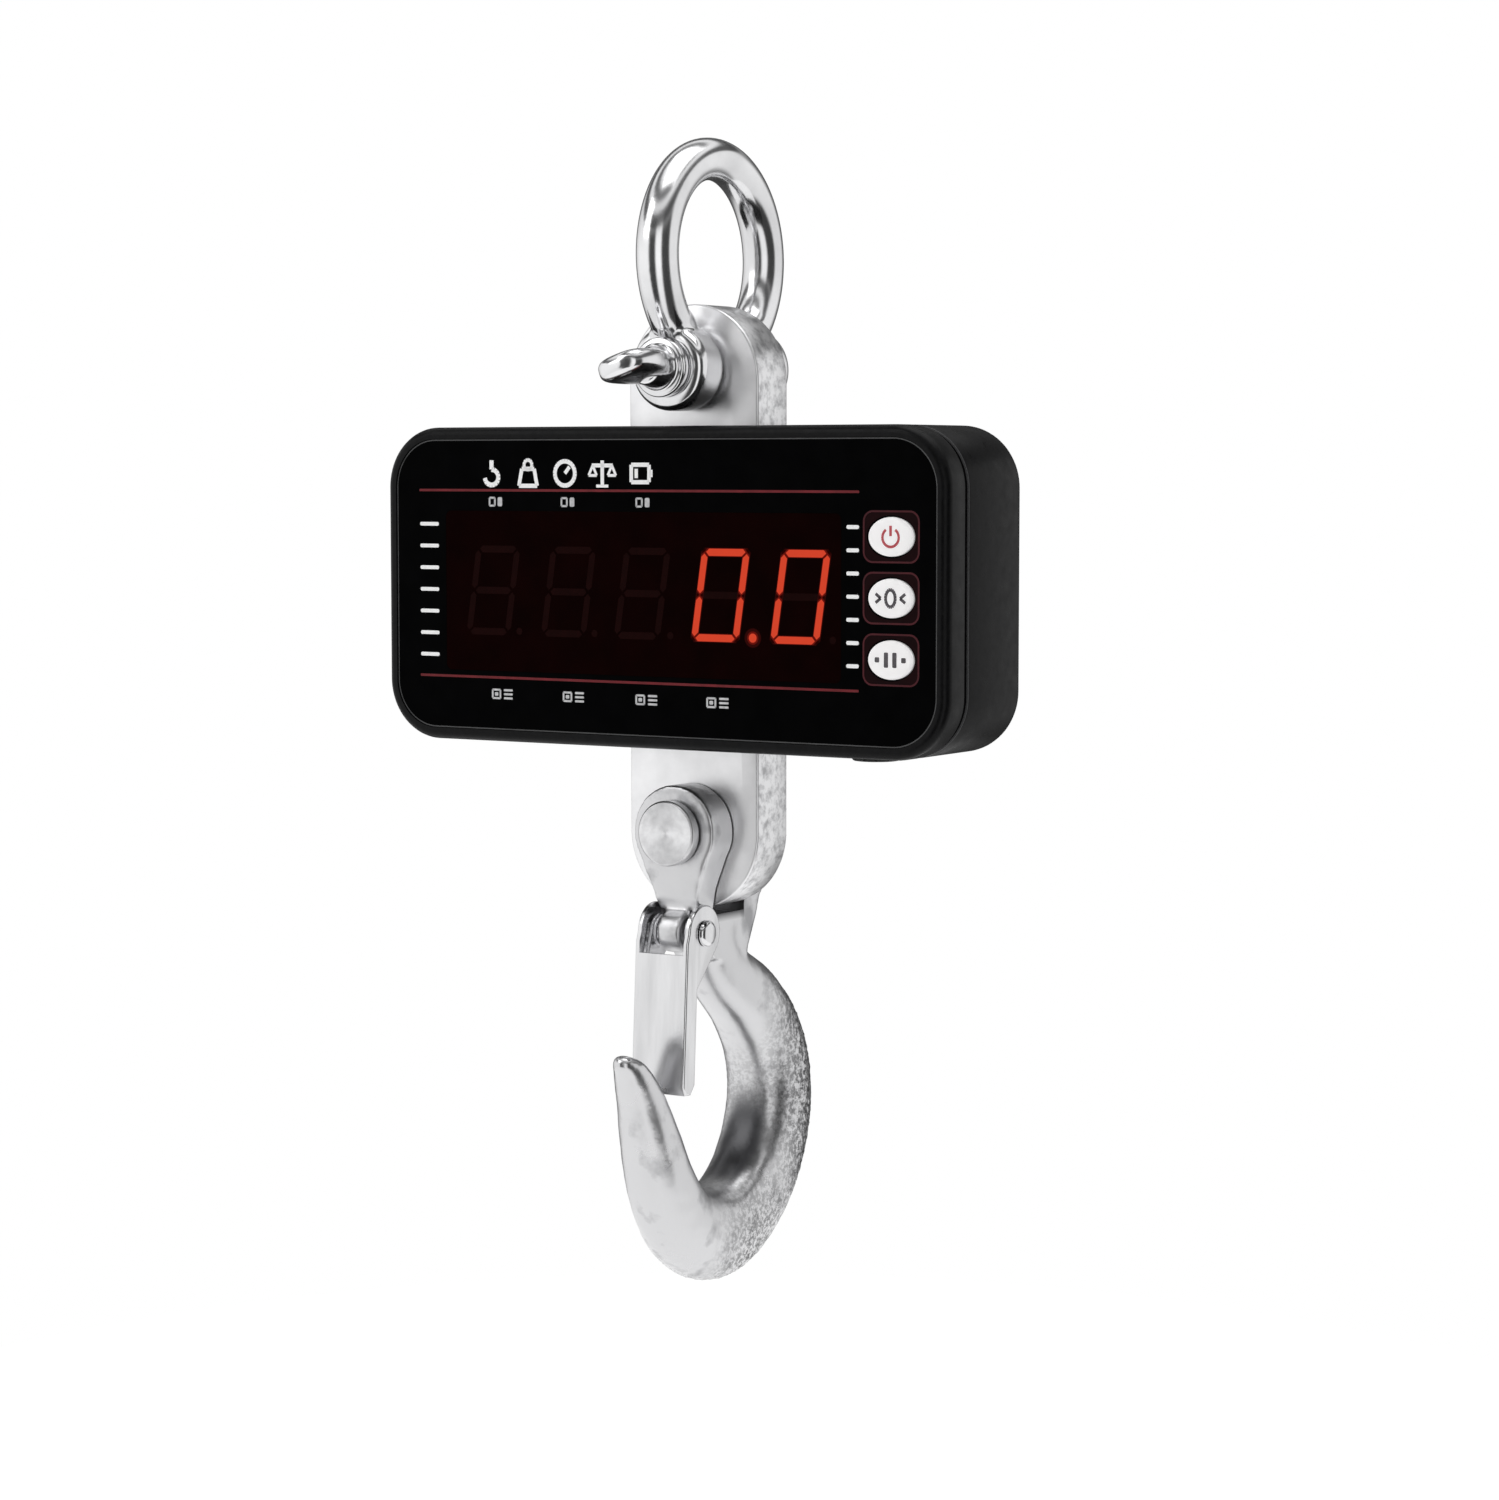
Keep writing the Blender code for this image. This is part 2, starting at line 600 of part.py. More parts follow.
def main_board():
    front = MAIN_BOARD_DEPTH
    outline = housing(rounded_rect(*MAIN_BOARD, 2, 2, (MAIN_BOARD_X, 0)))
    board = prism_y(outline, depth(front), depth(front + BOARD_T))
    for x, z in MAIN_SCREW_AT:
        cut(board, prism_y(circle(1.9, 8, (x, z + HOUSING_Z)), depth(30), depth(45)))
    finish(board, "main_board", BOARD_GREEN)
    for number, (x, z) in enumerate(MAIN_SCREW_AT, 1):
        screw(
            f"main_board_screw_{number}", (x, z + HOUSING_Z),
            depth(front - GAP - 1.5), depth(SHELL_DEPTH - 2.4), 2.7, 1.3, 1.5,
        )
    face = front - GAP
    block("converter_chip", 46, 12, 10, 7, face - 1.8, face, CHIP)
    block("controller_chip", 64, 6, 14, 14, face - 1.6, face, CHIP)
    block("gauge_socket", 37, -4, 8, 14, face - 6.0, face, ((0.8, 0.78, 0.7), 0.5, 0.0))
    buzzer = prism_y(circle(6.0, 20, (78, 22 + HOUSING_Z)), depth(face - 7.0), depth(face))
    finish(buzzer, "buzzer", CHIP)


def battery():
    """Two round cells side by side in one wrap, held by a bent strap with two feet."""
    half = CELL_R
    outline = []
    for side in (1, -1):
        for i in range(9):
            a = math.radians(-90 + 180 * i / 8)
            x = PACK_X + side * (half + half * math.cos(a))
            outline.append((x, depth(PACK_DEPTH) + side * half * math.sin(a)))
    low = HOUSING_Z - CELL_LENGTH / 2
    finish(prism_z(outline, low, low + CELL_LENGTH), "battery_pack", ((0.05, 0.16, 0.42), 0.35, 0.0))
    inner, sheet = 2 * half + 0.5, 1.2
    front = depth(PACK_DEPTH - half - 0.5)
    back = depth(SHELL_DEPTH - WALL - GAP)
    foot = CLAMP_FOOT_X + 4.5
    profile = [
        (-foot, back - sheet), (-inner - sheet, back - sheet), (-inner - sheet, front - sheet),
        (inner + sheet, front - sheet), (inner + sheet, back - sheet), (foot, back - sheet),
        (foot, back), (inner, back), (inner, front), (-inner, front), (-inner, back), (-foot, back),
    ]
    strap = prism_z([(x + PACK_X, y) for x, y in profile], HOUSING_Z - 7, HOUSING_Z + 7)
    for side in (-1, 1):
        at = (PACK_X + side * CLAMP_FOOT_X, HOUSING_Z)
        cut(strap, prism_y(circle(1.9, 8, at), back - 5, back + 2))
    finish(strap, "battery_clamp", STEEL)
    for number, side in enumerate((-1, 1), 1):
        at = (PACK_X + side * CLAMP_FOOT_X, HOUSING_Z)
        head = back - sheet - GAP - 1.5
        screw(f"clamp_screw_{number}", at, head, depth(SHELL_DEPTH - 1.4), 2.7, 1.3, 1.5)


def charging_port():
    """Round socket in the housing's underside, with its rubber plug."""
    low = HOUSING_Z - SHELL_H / 2
    x, y = JACK_X, depth(JACK_DEPTH)
    jack = turned([
        (0, low + 0.4), (5.6, low + 0.4), (5.6, low + WALL + GAP), (7.6, low + WALL + GAP),
        (7.6, low + 13), (0, low + 13),
    ], 20, "Z")
    cut(jack, cylinder(3.1, low - 1, low + 10, "Z", 16))
    finish(moved(jack, x, y), "charging_jack", CHIP)
    plug = turned([
        (0, low - 2.4), (6.4, low - 2.4), (7.2, low - 1.6), (7.2, low - GAP), (2.7, low - GAP),
        (2.6, low + 6), (1.9, low + 7), (0, low + 7),
    ], 20, "Z")
    finish(moved(plug, x, y), "charging_plug", RUBBER, (x, y, low))


def leads():
    """Leads that the housing holds from end to end."""
    front = depth(PLATE_DEPTH - PLATE_T / 2)
    gauge = [
        (11.0, front - 1.6, HOUSING_Z + 3), (16.0, front - 2.6, HOUSING_Z + 2),
        (23.0, front - 1.5, HOUSING_Z), (29.0, front + 3.5, HOUSING_Z - 2),
        (34.0, front + 7.4, HOUSING_Z - 4),
    ]
    finish(tube(smooth_through(gauge, 4), 1.1, 8), "gauge_lead", RUBBER)
    top = HOUSING_Z + CELL_LENGTH / 2
    supply = [
        (PACK_X + 9.0, depth(PACK_DEPTH), top + 1.6), (PACK_X + 16, depth(PACK_DEPTH - 5), top + 4.5),
        (PACK_X + 30, depth(17.6), top + 4.0), (0.0, depth(16.8), top + 2.0),
        (28.0, depth(18.0), top - 4.0), (40.0, depth(28.0), top - 8.0), (44.0, depth(36.4), top - 10.0),
    ]
    finish(tube(smooth_through(supply, 4), 1.3, 8), "battery_lead", ((0.4, 0.02, 0.02), 0.5, 0.0))
    ribbon = [
        (0.0, BOARD_FRONT + BOARD_T + GAP), (0.0, 17.0), (3.0, 22.0), (8.0, 27.0), (9.0, 32.0),
        (9.0, MAIN_BOARD_DEPTH - GAP),
    ]
    path = smooth_through(ribbon, 3)
    rings = [
        [(x + 66 + s, depth(y), HOUSING_Z + z) for s, z in ((-0.4, -29), (0.4, -29), (0.4, -15), (-0.4, -15))]
        for x, y in path
    ]
    finish(loft(rings), "display_ribbon", ((0.5, 0.5, 0.52), 0.5, 0.0))


def plate_mounting():
    """Spacer between the load plate and the rear shell, with two screws into the plate."""
    front = PLATE_DEPTH + PLATE_T / 2 + GAP
    spacer = prism_y(
        housing(rounded_rect(24, 66, 2, 2)), depth(front), depth(SHELL_DEPTH - WALL - GAP)
    )
    for z in (26, -26):
        cut(spacer, prism_y(circle(2.9, 12, (0, z + HOUSING_Z)), depth(front - 1), depth(SHELL_DEPTH)))
    finish(spacer, "plate_spacer", ((0.6, 0.6, 0.62), 0.4, 1.0))
    for number, z in enumerate((26, -26), 1):
        screw(
            f"plate_screw_{number}", (0, z + HOUSING_Z),
            depth(SHELL_DEPTH - 0.1), depth(front - GAP - 6.5), 4.6, 2.2, 1.4,
        )


def shell_screws():
    for number, (x, z) in enumerate(SCREW_AT, 1):
        screw(
            f"shell_screw_{number}", (x, z + HOUSING_Z),
            depth(SHELL_DEPTH - 0.7), depth(6.0), 3.2, 1.6, 2.2,
        )


# ---------------------------------------------------------------- hook

def hook_stations():
    """Centre line of the hook in its own plane: (y, z, half width, half depth) from the pin's centre."""
    return [
        (0.5, -30.0, 8.2, 12.5), (1.5, -37.5, 8.4, 10.8), (8.0, -46.5, 9.4, 11.0),
        (22.0, -57.0, 11.0, 12.8), (32.5, -70.0, 12.0, 14.0), (36.6, -85.0, 12.4, 14.8),
        (33.8, -101.0, 12.6, 15.2), (24.3, -115.7, 12.4, 15.6), (9.8, -125.0, 12.0, 15.6),
        (-4.7, -126.3, 11.6, 14.6), (-17.9, -120.0, 11.2, 12.6), (-27.4, -107.2, 10.6, 10.6),
        (-33.3, -93.0, 9.6, 8.8), (-38.3, -80.0, 7.8, 7.0), (-43.3, -71.0, 6.0, 5.2),
        (-48.2, -66.5, 3.6, 3.0),
    ]


def hook_bowl():
    """Sweep of a rounded section, a little narrower on its outer side."""
    path = smooth_through(hook_stations(), 4)
    sides = 20
    rings = []
    for i, (y, z, a, b) in enumerate(path):
        before, after = path[max(i - 1, 0)], path[min(i + 1, len(path) - 1)]
        tangent = Vector((0, after[0] - before[0], after[1] - before[1])).normalized()
        inward = Vector((0, tangent.z, -tangent.y))
        ring = []
        for k in range(sides):
            t = 2 * math.pi * k / sides
            c, s = math.cos(t), math.sin(t)
            power = 2 / 2.35
            across = math.copysign(abs(s) ** power, s) * a * (1 + 0.10 * c)
            along = math.copysign(abs(c) ** power, c) * b
            ring.append(tuple(Vector((across, y, z)) + inward * along))
        rings.append(ring)
    tip = path[-1]
    rings.append([
        (p[0] * 0.3, tip[0] - 1.6 + (p[1] - tip[0]) * 0.3, tip[1] + 1.4 + (p[2] - tip[1]) * 0.3)
        for p in rings[-1]
    ])
    return loft(rings)


def fork_blank():
    """The two ears and arms before the slot is cut: what is in both the front and the side outline."""
    front = []
    for i in range(17):
        a = math.radians(-32 + (180 + 64) * i / 16)
        front.append((EAR_R * math.cos(a), EAR_R * math.sin(a)))
    front += [(-8.8, -17.5), (-7.6, -24.0), (-8.0, -40.0), (8.0, -40.0), (7.6, -24.0), (8.8, -17.5)]
    blank = prism_y(front, -FORK_OUT / 2, FORK_OUT / 2)
    half = FORK_OUT / 2
    side = [
        (-half, 20), (-half, -11), (-19.0, -20), (-15.5, -28), (-11.5, -36), (-7.0, -42),
        (10.0, -42), (13.5, -36), (17.5, -28), (half, -18), (half, 20),
    ]
    return boolean(blank, prism_x(side, -30, 30), "INTERSECT")


def latch_lug():
    """Boss on the neck's front that carries the latch rivet."""
    y, z = LATCH_AXIS
    lug = cylinder(6.9, -4.4, 4.4, "X", 20)
    moved(lug, y=y, z=z)
    web = prism_x([(y, z - 7.0), (y, z + 6.0), (y + 20, z + 6.0), (y + 20, z - 7.0)], -4.4, 4.4)
    return lug, web


def clevis_hook():
    """Forged hook. Its rough pieces are fused and smoothed, then machined for slot, pin and latch."""
    hook = hook_bowl()
    parts = [fork_blank(), *latch_lug()]
    join(hook, *parts)
    remesh = hook.modifiers.new("fuse", "REMESH")
    remesh.mode = "VOXEL"
    remesh.voxel_size = 1.3
    soften = hook.modifiers.new("soften", "SMOOTH")
    soften.factor = 0.5
    soften.iterations = 5
    thin = hook.modifiers.new("thin", "DECIMATE")
    thin.ratio = HOOK_KEEP
    graph = bpy.context.evaluated_depsgraph_get()
    hook.data = bpy.data.meshes.new_from_object(hook.evaluated_get(graph))
    hook.modifiers.clear()
    half = FORK_SLOT / 2
    slot = moved(prism_y(stadium(2 * CROTCH_R, 40, 20), -half, half), z=40)
    ends = FORK_OUT / 2
    cut(hook, slot, cylinder(CLEVIS_PIN_R + 0.4, -40, 40))
    y, z = LATCH_AXIS
    cut(hook, moved(cylinder(RIVET_R + 0.4, -30, 30, "X", 16), y=y, z=z))
    for low, high in ((-30, -4.5), (4.5, 30)):
        cut(hook, moved(cylinder(6.9, low, high, "X", 20), y=y, z=z))
    for low, high in ((-30, -7.6), (7.6, 30)):
        cut(hook, moved(cylinder(9.6, low, high, "X", 24), y=y, z=z))
    for side in (-1, 1):
        face = sorted((side * (ends - 0.4), side * (ends + 20)))
        cut(hook, prism_y(circle(EAR_R - 2.4, 24), *face))
    moved(hook, y=PLATE_Y, z=LOW_PIN_Z)
    return finish(hook, "clevis_hook", STEEL, (0, PLATE_Y, LOW_PIN_Z), 50.0)


def clevis_pin():
    """Headed pin, drilled across for the split pin, with its washer."""
    front = -FORK_OUT / 2 - GAP
    back = FORK_OUT / 2 + 9.0
    pin = turned([
        (0, front - CLEVIS_HEAD_T), (CLEVIS_HEAD_R - 0.7, front - CLEVIS_HEAD_T),
        (CLEVIS_HEAD_R, front - CLEVIS_HEAD_T + 0.7), (CLEVIS_HEAD_R, front), (CLEVIS_PIN_R, front),
        (CLEVIS_PIN_R, back - 1.0), (CLEVIS_PIN_R - 1.0, back), (0, back),
    ], 28)
    cross = FORK_OUT / 2 + 5.2
    cut(pin, moved(cylinder(1.9, -20, 20, "X", 12), y=cross))
    origin = (0, PLATE_Y, LOW_PIN_Z)
    finish(moved(pin, y=PLATE_Y, z=LOW_PIN_Z), "clevis_pin", POLISHED, origin)
    low = FORK_OUT / 2 + GAP
    washer = cylinder(11.5, low, low + 1.8, sides=24)
    cut(washer, cylinder(CLEVIS_PIN_R + 0.4, low - 1, low + 3, sides=24))
    finish(moved(washer, y=PLATE_Y, z=LOW_PIN_Z), "clevis_washer", STEEL, origin)
    return split_pin(cross, origin)


def split_pin(cross, origin):
    """One wire folded on itself: an eye on the left, two legs through the pin, ends spread."""
    offset, wire = 0.78, 0.56
    reach = CLEVIS_PIN_R
    upper = [(reach + 5.0, cross, 4.4), (reach + 2.6, cross, 2.4), (reach + 1.0, cross, offset)]
    upper += [(0.0, cross, offset), (-reach - 0.6, cross, offset)]
    eye_x, eye_r = -reach - 4.0, 2.7
    loop = []
    for i in range(9):
        a = math.radians(40 + 280 * i / 8)
        loop.append((eye_x + eye_r * math.cos(a), cross, eye_r * math.sin(a)))
    lower = [(x, y, -z) for x, y, z in reversed(upper)]
    wire_path = smooth_through(upper + loop + lower, 2)
    wire_body = tube(wire_path, wire, 6)
    moved(wire_body, y=PLATE_Y, z=LOW_PIN_Z)
    return finish(wire_body, "split_pin", STEEL, origin)


# ---------------------------------------------------------------- latch

def latch_place(obj):
    """Moves a latch piece from its rivet's frame to its place."""
    obj.data.transform(Matrix.Rotation(-LATCH_TILT, 4, "X"))
    return moved(obj, y=PLATE_Y + LATCH_AXIS[0], z=LOW_PIN_Z + LATCH_AXIS[1])


def latch_side():
    """Side outline (y, z) from the rivet: a round ear above a narrow flange."""
    face = -LATCH_FACE
    points = []
    for i in range(10):
        a = math.radians(-35 + 215 * i / 9)
        points.append((8.6 * math.cos(a), 8.6 * math.sin(a)))
    points += [(face, -3.0), (face, -LATCH_LENGTH + 2.5), (face + 1.2, -LATCH_LENGTH)]
    points += [(face + 4.2, -LATCH_LENGTH), (face + 6.3, -LATCH_LENGTH + 3), (face + 6.3, -17.0)]
    return points


def safety_latch():
    """Folded channel: a flat face, two flanges, and ears on the rivet."""
    body = bevel(prism_x(latch_side(), -LATCH_OUT, LATCH_OUT), 0.5, 1, 70)
    inner = LATCH_OUT - LATCH_SHEET
    hollow = [(-LATCH_FACE + LATCH_SHEET, -80), (-LATCH_FACE + LATCH_SHEET, 20), (30, 20), (30, -80)]
    cut(body, prism_x(hollow, -inner, inner))
    window = [(-20, -6.5), (-20, 20), (0, 20), (0, -6.5)]
    cut(body, prism_x(window, -inner, inner))
    cut(body, cylinder(RIVET_R + 0.4, -20, 20, "X", 16))
    latch_place(body)
    origin = (0, PLATE_Y + LATCH_AXIS[0], LOW_PIN_Z + LATCH_AXIS[1])
    return finish(body, "safety_latch", STEEL, origin)


def latch_rivet():
    end = LATCH_OUT + GAP
    half = [(RIVET_R, end), (4.0, end), (4.0, end + 0.8), (2.9, end + 1.8)]
    profile = [(0, -end - 1.8)] + [(r, -h) for r, h in reversed(half)] + half + [(0, end + 1.8)]
    rivet = turned(profile, 16, "X")
    latch_place(rivet)
    origin = (0, PLATE_Y + LATCH_AXIS[0], LOW_PIN_Z + LATCH_AXIS[1])
    return finish(rivet, "latch_rivet", POLISHED, origin)


def latch_spring():
    """Double torsion spring: two coils round the rivet, joined by a bar behind the latch's face."""
    wire, coil_r, turns = 0.6, 4.7, 1.25
    first, pitch = 5.35, 1.25
    bar_y = -LATCH_FACE + LATCH_SHEET + GAP + wire + 0.1
    bar_z = -15.0
    steps = 18
    half = []
    for i in range(steps + 1):
        a = math.radians(90) + 2 * math.pi * turns * i / steps
        half.append((first + pitch * turns * i / steps, coil_r * math.cos(a), coil_r * math.sin(a)))
    half.reverse()
    tail = [(first, 2.9, coil_r + 0.1)]
    outer = first + pitch * turns
    leg = [(outer, bar_y + 0.6, -6.0), (outer - 0.2, bar_y, -12.0), (outer - 1.6, bar_y, bar_z)]
    right = leg[::-1] + half + tail
    left = [(-x, y, z) for x, y, z in reversed(right)]
    bar = [(0.0, bar_y, bar_z)]
    spring = tube(left + bar + right, wire, 6)
    latch_place(spring)
    origin = (0, PLATE_Y + LATCH_AXIS[0], LOW_PIN_Z + LATCH_AXIS[1])
    return finish(spring, "latch_spring", STEEL, origin)


# ---------------------------------------------------------------- build

def main():
    for obj in list(bpy.data.objects):
        bpy.data.objects.remove(obj, do_unlink=True)
    shackle_bow()
    shackle_pin()
    load_cell_plate()
    gauges()
    front_shell()
    rear_shell()
    shell_seal()
    plate_seals()
    front_overlay()
    display_window()
    keys()
    display_board()
    digits()
    main_board()
    battery()
    charging_port()
    leads()
    plate_mounting()
    shell_screws()
    clevis_hook()
    clevis_pin()
    safety_latch()
    latch_rivet()
    latch_spring()


main()
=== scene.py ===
"""Looks for the hanging hook scale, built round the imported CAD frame.

Shapes are made in millimetres in the frame's own axes and scaled to metres when they are placed.
+Z is up, the display faces -Y, and +X is to the right of a person who reads the display.
"""

import contextlib
import json
import math

import bmesh
import bpy
from mathutils import Matrix, Vector, noise


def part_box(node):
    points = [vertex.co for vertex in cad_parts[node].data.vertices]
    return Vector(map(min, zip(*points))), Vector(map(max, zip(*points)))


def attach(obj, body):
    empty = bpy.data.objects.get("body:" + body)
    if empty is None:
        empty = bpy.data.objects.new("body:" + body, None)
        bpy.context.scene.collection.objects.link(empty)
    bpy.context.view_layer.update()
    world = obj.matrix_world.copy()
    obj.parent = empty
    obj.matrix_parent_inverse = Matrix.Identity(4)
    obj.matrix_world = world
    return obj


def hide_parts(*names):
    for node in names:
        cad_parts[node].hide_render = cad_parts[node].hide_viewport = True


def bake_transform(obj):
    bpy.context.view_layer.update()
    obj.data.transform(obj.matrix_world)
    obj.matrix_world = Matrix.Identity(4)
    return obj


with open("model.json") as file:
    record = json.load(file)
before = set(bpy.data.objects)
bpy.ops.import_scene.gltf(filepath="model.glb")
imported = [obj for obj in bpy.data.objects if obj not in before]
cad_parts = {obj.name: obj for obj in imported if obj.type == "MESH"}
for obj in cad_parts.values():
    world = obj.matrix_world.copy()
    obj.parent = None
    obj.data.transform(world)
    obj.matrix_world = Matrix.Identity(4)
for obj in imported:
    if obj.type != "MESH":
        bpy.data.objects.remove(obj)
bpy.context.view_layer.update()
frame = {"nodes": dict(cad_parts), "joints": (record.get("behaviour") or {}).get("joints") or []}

MM = 0.001
JOINTS = {joint["name"]: joint for joint in frame["joints"]}


def node_box(node):
    """A CAD node's lowest and highest corners in millimetres."""
    low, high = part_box(node)
    return low / MM, high / MM


SHELL_LOW, SHELL_HIGH = node_box("front_shell")
REAR_HIGH = node_box("rear_shell")[1]
PLATE_LOW, PLATE_HIGH = node_box("load_cell_plate")
FRONT_Y = SHELL_LOW.y
HOUSING_Z = (SHELL_LOW.z + SHELL_HIGH.z) / 2
SHELL_W = SHELL_HIGH.x - SHELL_LOW.x
SHELL_H = SHELL_HIGH.z - SHELL_LOW.z
SHELL_DEPTH = REAR_HIGH.y - FRONT_Y
FRONT_DEPTH = 10.5
REAR_START = 12.3
CORNER_R = 18.5
OVERLAY_INSET = 3.9
WALL = 2.5
PLATE_SCREW_Z = (26, -26)       # from the housing's centre
PLATE_Y = (PLATE_LOW.y + PLATE_HIGH.y) / 2
PIN_Z = JOINTS["scale_swing"]["pos_m"][2] / MM
LOW_PIN_Z = JOINTS["hook_swing"]["pos_m"][2] / MM
LATCH_AT = [c / MM for c in JOINTS["latch_open"]["pos_m"]]
LATCH_AXIS = (LATCH_AT[1] - PLATE_Y, LATCH_AT[2] - LOW_PIN_Z)
LATCH_TILT = math.radians(3.2)
PIN_HOLE_R = 7.4
KEY_CAP = (7.6, 5.7)            # half width and half height
KEY_HOLE = (7.95, 6.05)
KEY_FIELD = (8.1, 6.2)


# ---- shape tools

SAME_POINT = 1e-4
WELD = 0.002                    # wider than the slivers that a cut leaves


def add_object(name, data):
    obj = bpy.data.objects.new(name, data)
    bpy.context.scene.collection.objects.link(obj)
    return obj


@contextlib.contextmanager
def editing(mesh):
    bm = bmesh.new()
    bm.from_mesh(mesh)
    yield bm
    bm.to_mesh(mesh)
    bm.free()


def solid_from(verts, faces):
    mesh = bpy.data.meshes.new("solid")
    mesh.from_pydata([tuple(v) for v in verts], [], faces)
    with editing(mesh) as bm:
        bmesh.ops.remove_doubles(bm, verts=bm.verts, dist=SAME_POINT)
        bmesh.ops.recalc_face_normals(bm, faces=bm.faces)
    return add_object("solid", mesh)


def loft(rings):
    """A closed solid through equal rings of points, with a flat cap at each end."""
    count = len(rings[0])
    verts = [p for ring in rings for p in ring]
    faces = [tuple(range(count))]
    for row in range(len(rings) - 1):
        for i in range(count):
            j = (i + 1) % count
            a, b = row * count, (row + 1) * count
            faces.append((a + i, a + j, b + j, b + i))
    last = (len(rings) - 1) * count
    faces.append(tuple(last + i for i in reversed(range(count))))
    return solid_from(verts, faces)


def prism_y(outline, y0, y1):
    return loft([[(x, y, z) for x, z in outline] for y in (y0, y1)])


def prism_x(outline, x0, x1):
    return loft([[(x, y, z) for y, z in outline] for x in (x0, x1)])


def prism_z(outline, z0, z1):
    return loft([[(x, y, z) for x, y in outline] for z in (z0, z1)])


def circle(radius, sides, at=(0.0, 0.0), squash=1.0):
    step = 2 * math.pi / sides
    return [
        (at[0] + radius * math.cos(i * step), at[1] + squash * radius * math.sin(i * step))
        for i in range(sides)
    ]


def oval(size, sides, at):
    return circle(size[0], sides, at, size[1] / size[0])


def squircle(sides, power):
    """A unit superellipse: power 2 is a circle, and more is squarer."""
    out = []
    for k in range(sides):
        c, t = math.cos(2 * math.pi * k / sides), math.sin(2 * math.pi * k / sides)
        out.append((
            math.copysign(abs(c) ** (2 / power), c), math.copysign(abs(t) ** (2 / power), t)
        ))
    return out


def rounded_rect(width, height, radius, steps=6, at=(0.0, 0.0)):
    points = []
    for corner in range(4):
        sx = 1 if corner in (0, 3) else -1
        sz = 1 if corner in (0, 1) else -1
        cx = at[0] + sx * (width / 2 - radius)
        cz = at[1] + sz * (height / 2 - radius)
        for i in range(steps + 1):
            a = math.radians(90 * corner + 90 * i / steps)
            points.append((cx + radius * math.cos(a), cz + radius * math.sin(a)))
    return points


def turned(profile, sides, axis="Y"):
    """Turns a profile of (radius, height) points about the axis. It starts and ends on the axis."""
    inner = profile[1:-1]
    verts = [(0.0, 0.0, profile[0][1]), (0.0, 0.0, profile[-1][1])]
    for radius, height in inner:
        verts += [(x, y, height) for x, y in circle(radius, sides)]
    faces = []
    for i in range(sides):
        j = (i + 1) % sides
        faces.append((0, 2 + i, 2 + j))
        last = 2 + (len(inner) - 1) * sides
        faces.append((1, last + j, last + i))
        for row in range(len(inner) - 1):
            a = 2 + row * sides
            faces.append((a + i, a + sides + i, a + sides + j, a + j))
    obj = solid_from(verts, faces)
    turns = {"Y": Matrix.Rotation(-math.pi / 2, 4, "X"), "X": Matrix.Rotation(math.pi / 2, 4, "Y")}
    if axis in turns:
        obj.data.transform(turns[axis])
    return obj


def rounded_profile(corners, steps):
    """Rounds the corners of a (radius, height) profile. Each corner is (radius, height, fillet)."""
    out = []
    for i, (r, h, fillet) in enumerate(corners):
        here = Vector((r, h))
        if fillet == 0 or i in (0, len(corners) - 1):
            out.append((r, h))
            continue
        back = (Vector(corners[i - 1][:2]) - here).normalized()
        ahead = (Vector(corners[i + 1][:2]) - here).normalized()
        for k in range(steps + 1):
            t = k / steps
            p = here + back * fillet * (1 - t) ** 2 + ahead * fillet * t ** 2
            out.append((p.x, p.y))
    return out


def lathe(corners, sides, steps=5, axis="Y"):
    return turned(rounded_profile(corners, steps), sides, axis)


def cylinder(radius, low, high, axis="Y", sides=48):
    return turned([(0, low), (radius, low), (radius, high), (0, high)], sides, axis)


def moved(obj, x=0.0, y=0.0, z=0.0):
    obj.data.transform(Matrix.Translation((x, y, z)))
    return obj


def bake_modifiers(obj):
    graph = bpy.context.evaluated_depsgraph_get()
    mesh = bpy.data.meshes.new_from_object(obj.evaluated_get(graph))
    obj.modifiers.clear()
    obj.data = mesh
    return obj


def boolean(obj, other, operation):
    modifier = obj.modifiers.new("cut", "BOOLEAN")
    modifier.operation = operation
    modifier.solver = "EXACT"
    modifier.object = other
    bake_modifiers(obj)
    bpy.data.objects.remove(other)
    return obj


def cut(obj, *tools):
    for tool in tools:
        boolean(obj, tool, "DIFFERENCE")
    return obj


def join(obj, *others):
    for other in others:
        boolean(obj, other, "UNION")
    return obj


def bevel(obj, width, segments=2, angle=40.0):
    """Rounds every edge sharper than the angle."""
    limit = math.radians(angle)
    with editing(obj.data) as bm:
        edges = [e for e in bm.edges if len(e.link_faces) == 2 and e.calc_face_angle() > limit]
        bmesh.ops.bevel(bm, geom=edges, offset=width, segments=segments, profile=0.5,
                        affect="EDGES", clamp_overlap=True)
    return obj


def smooth_through(points, per_span):
    """Catmull-Rom curve through points of any size, as a list of tuples."""
    ends = [tuple(2 * a - b for a, b in zip(points[0], points[1]))]
    tail = [tuple(2 * a - b for a, b in zip(points[-1], points[-2]))]
    p = ends + list(points) + tail
    out = []
    for i in range(1, len(p) - 2):
        for k in range(per_span):
            t = k / per_span
            out.append(tuple(
                0.5 * (2 * b + (c - a) * t + (2 * a - 5 * b + 4 * c - d) * t * t
                       + (3 * b - a - 3 * c + d) * t ** 3)
                for a, b, c, d in zip(p[i - 1], p[i], p[i + 1], p[i + 2])
            ))
    out.append(tuple(points[-1]))
    return out


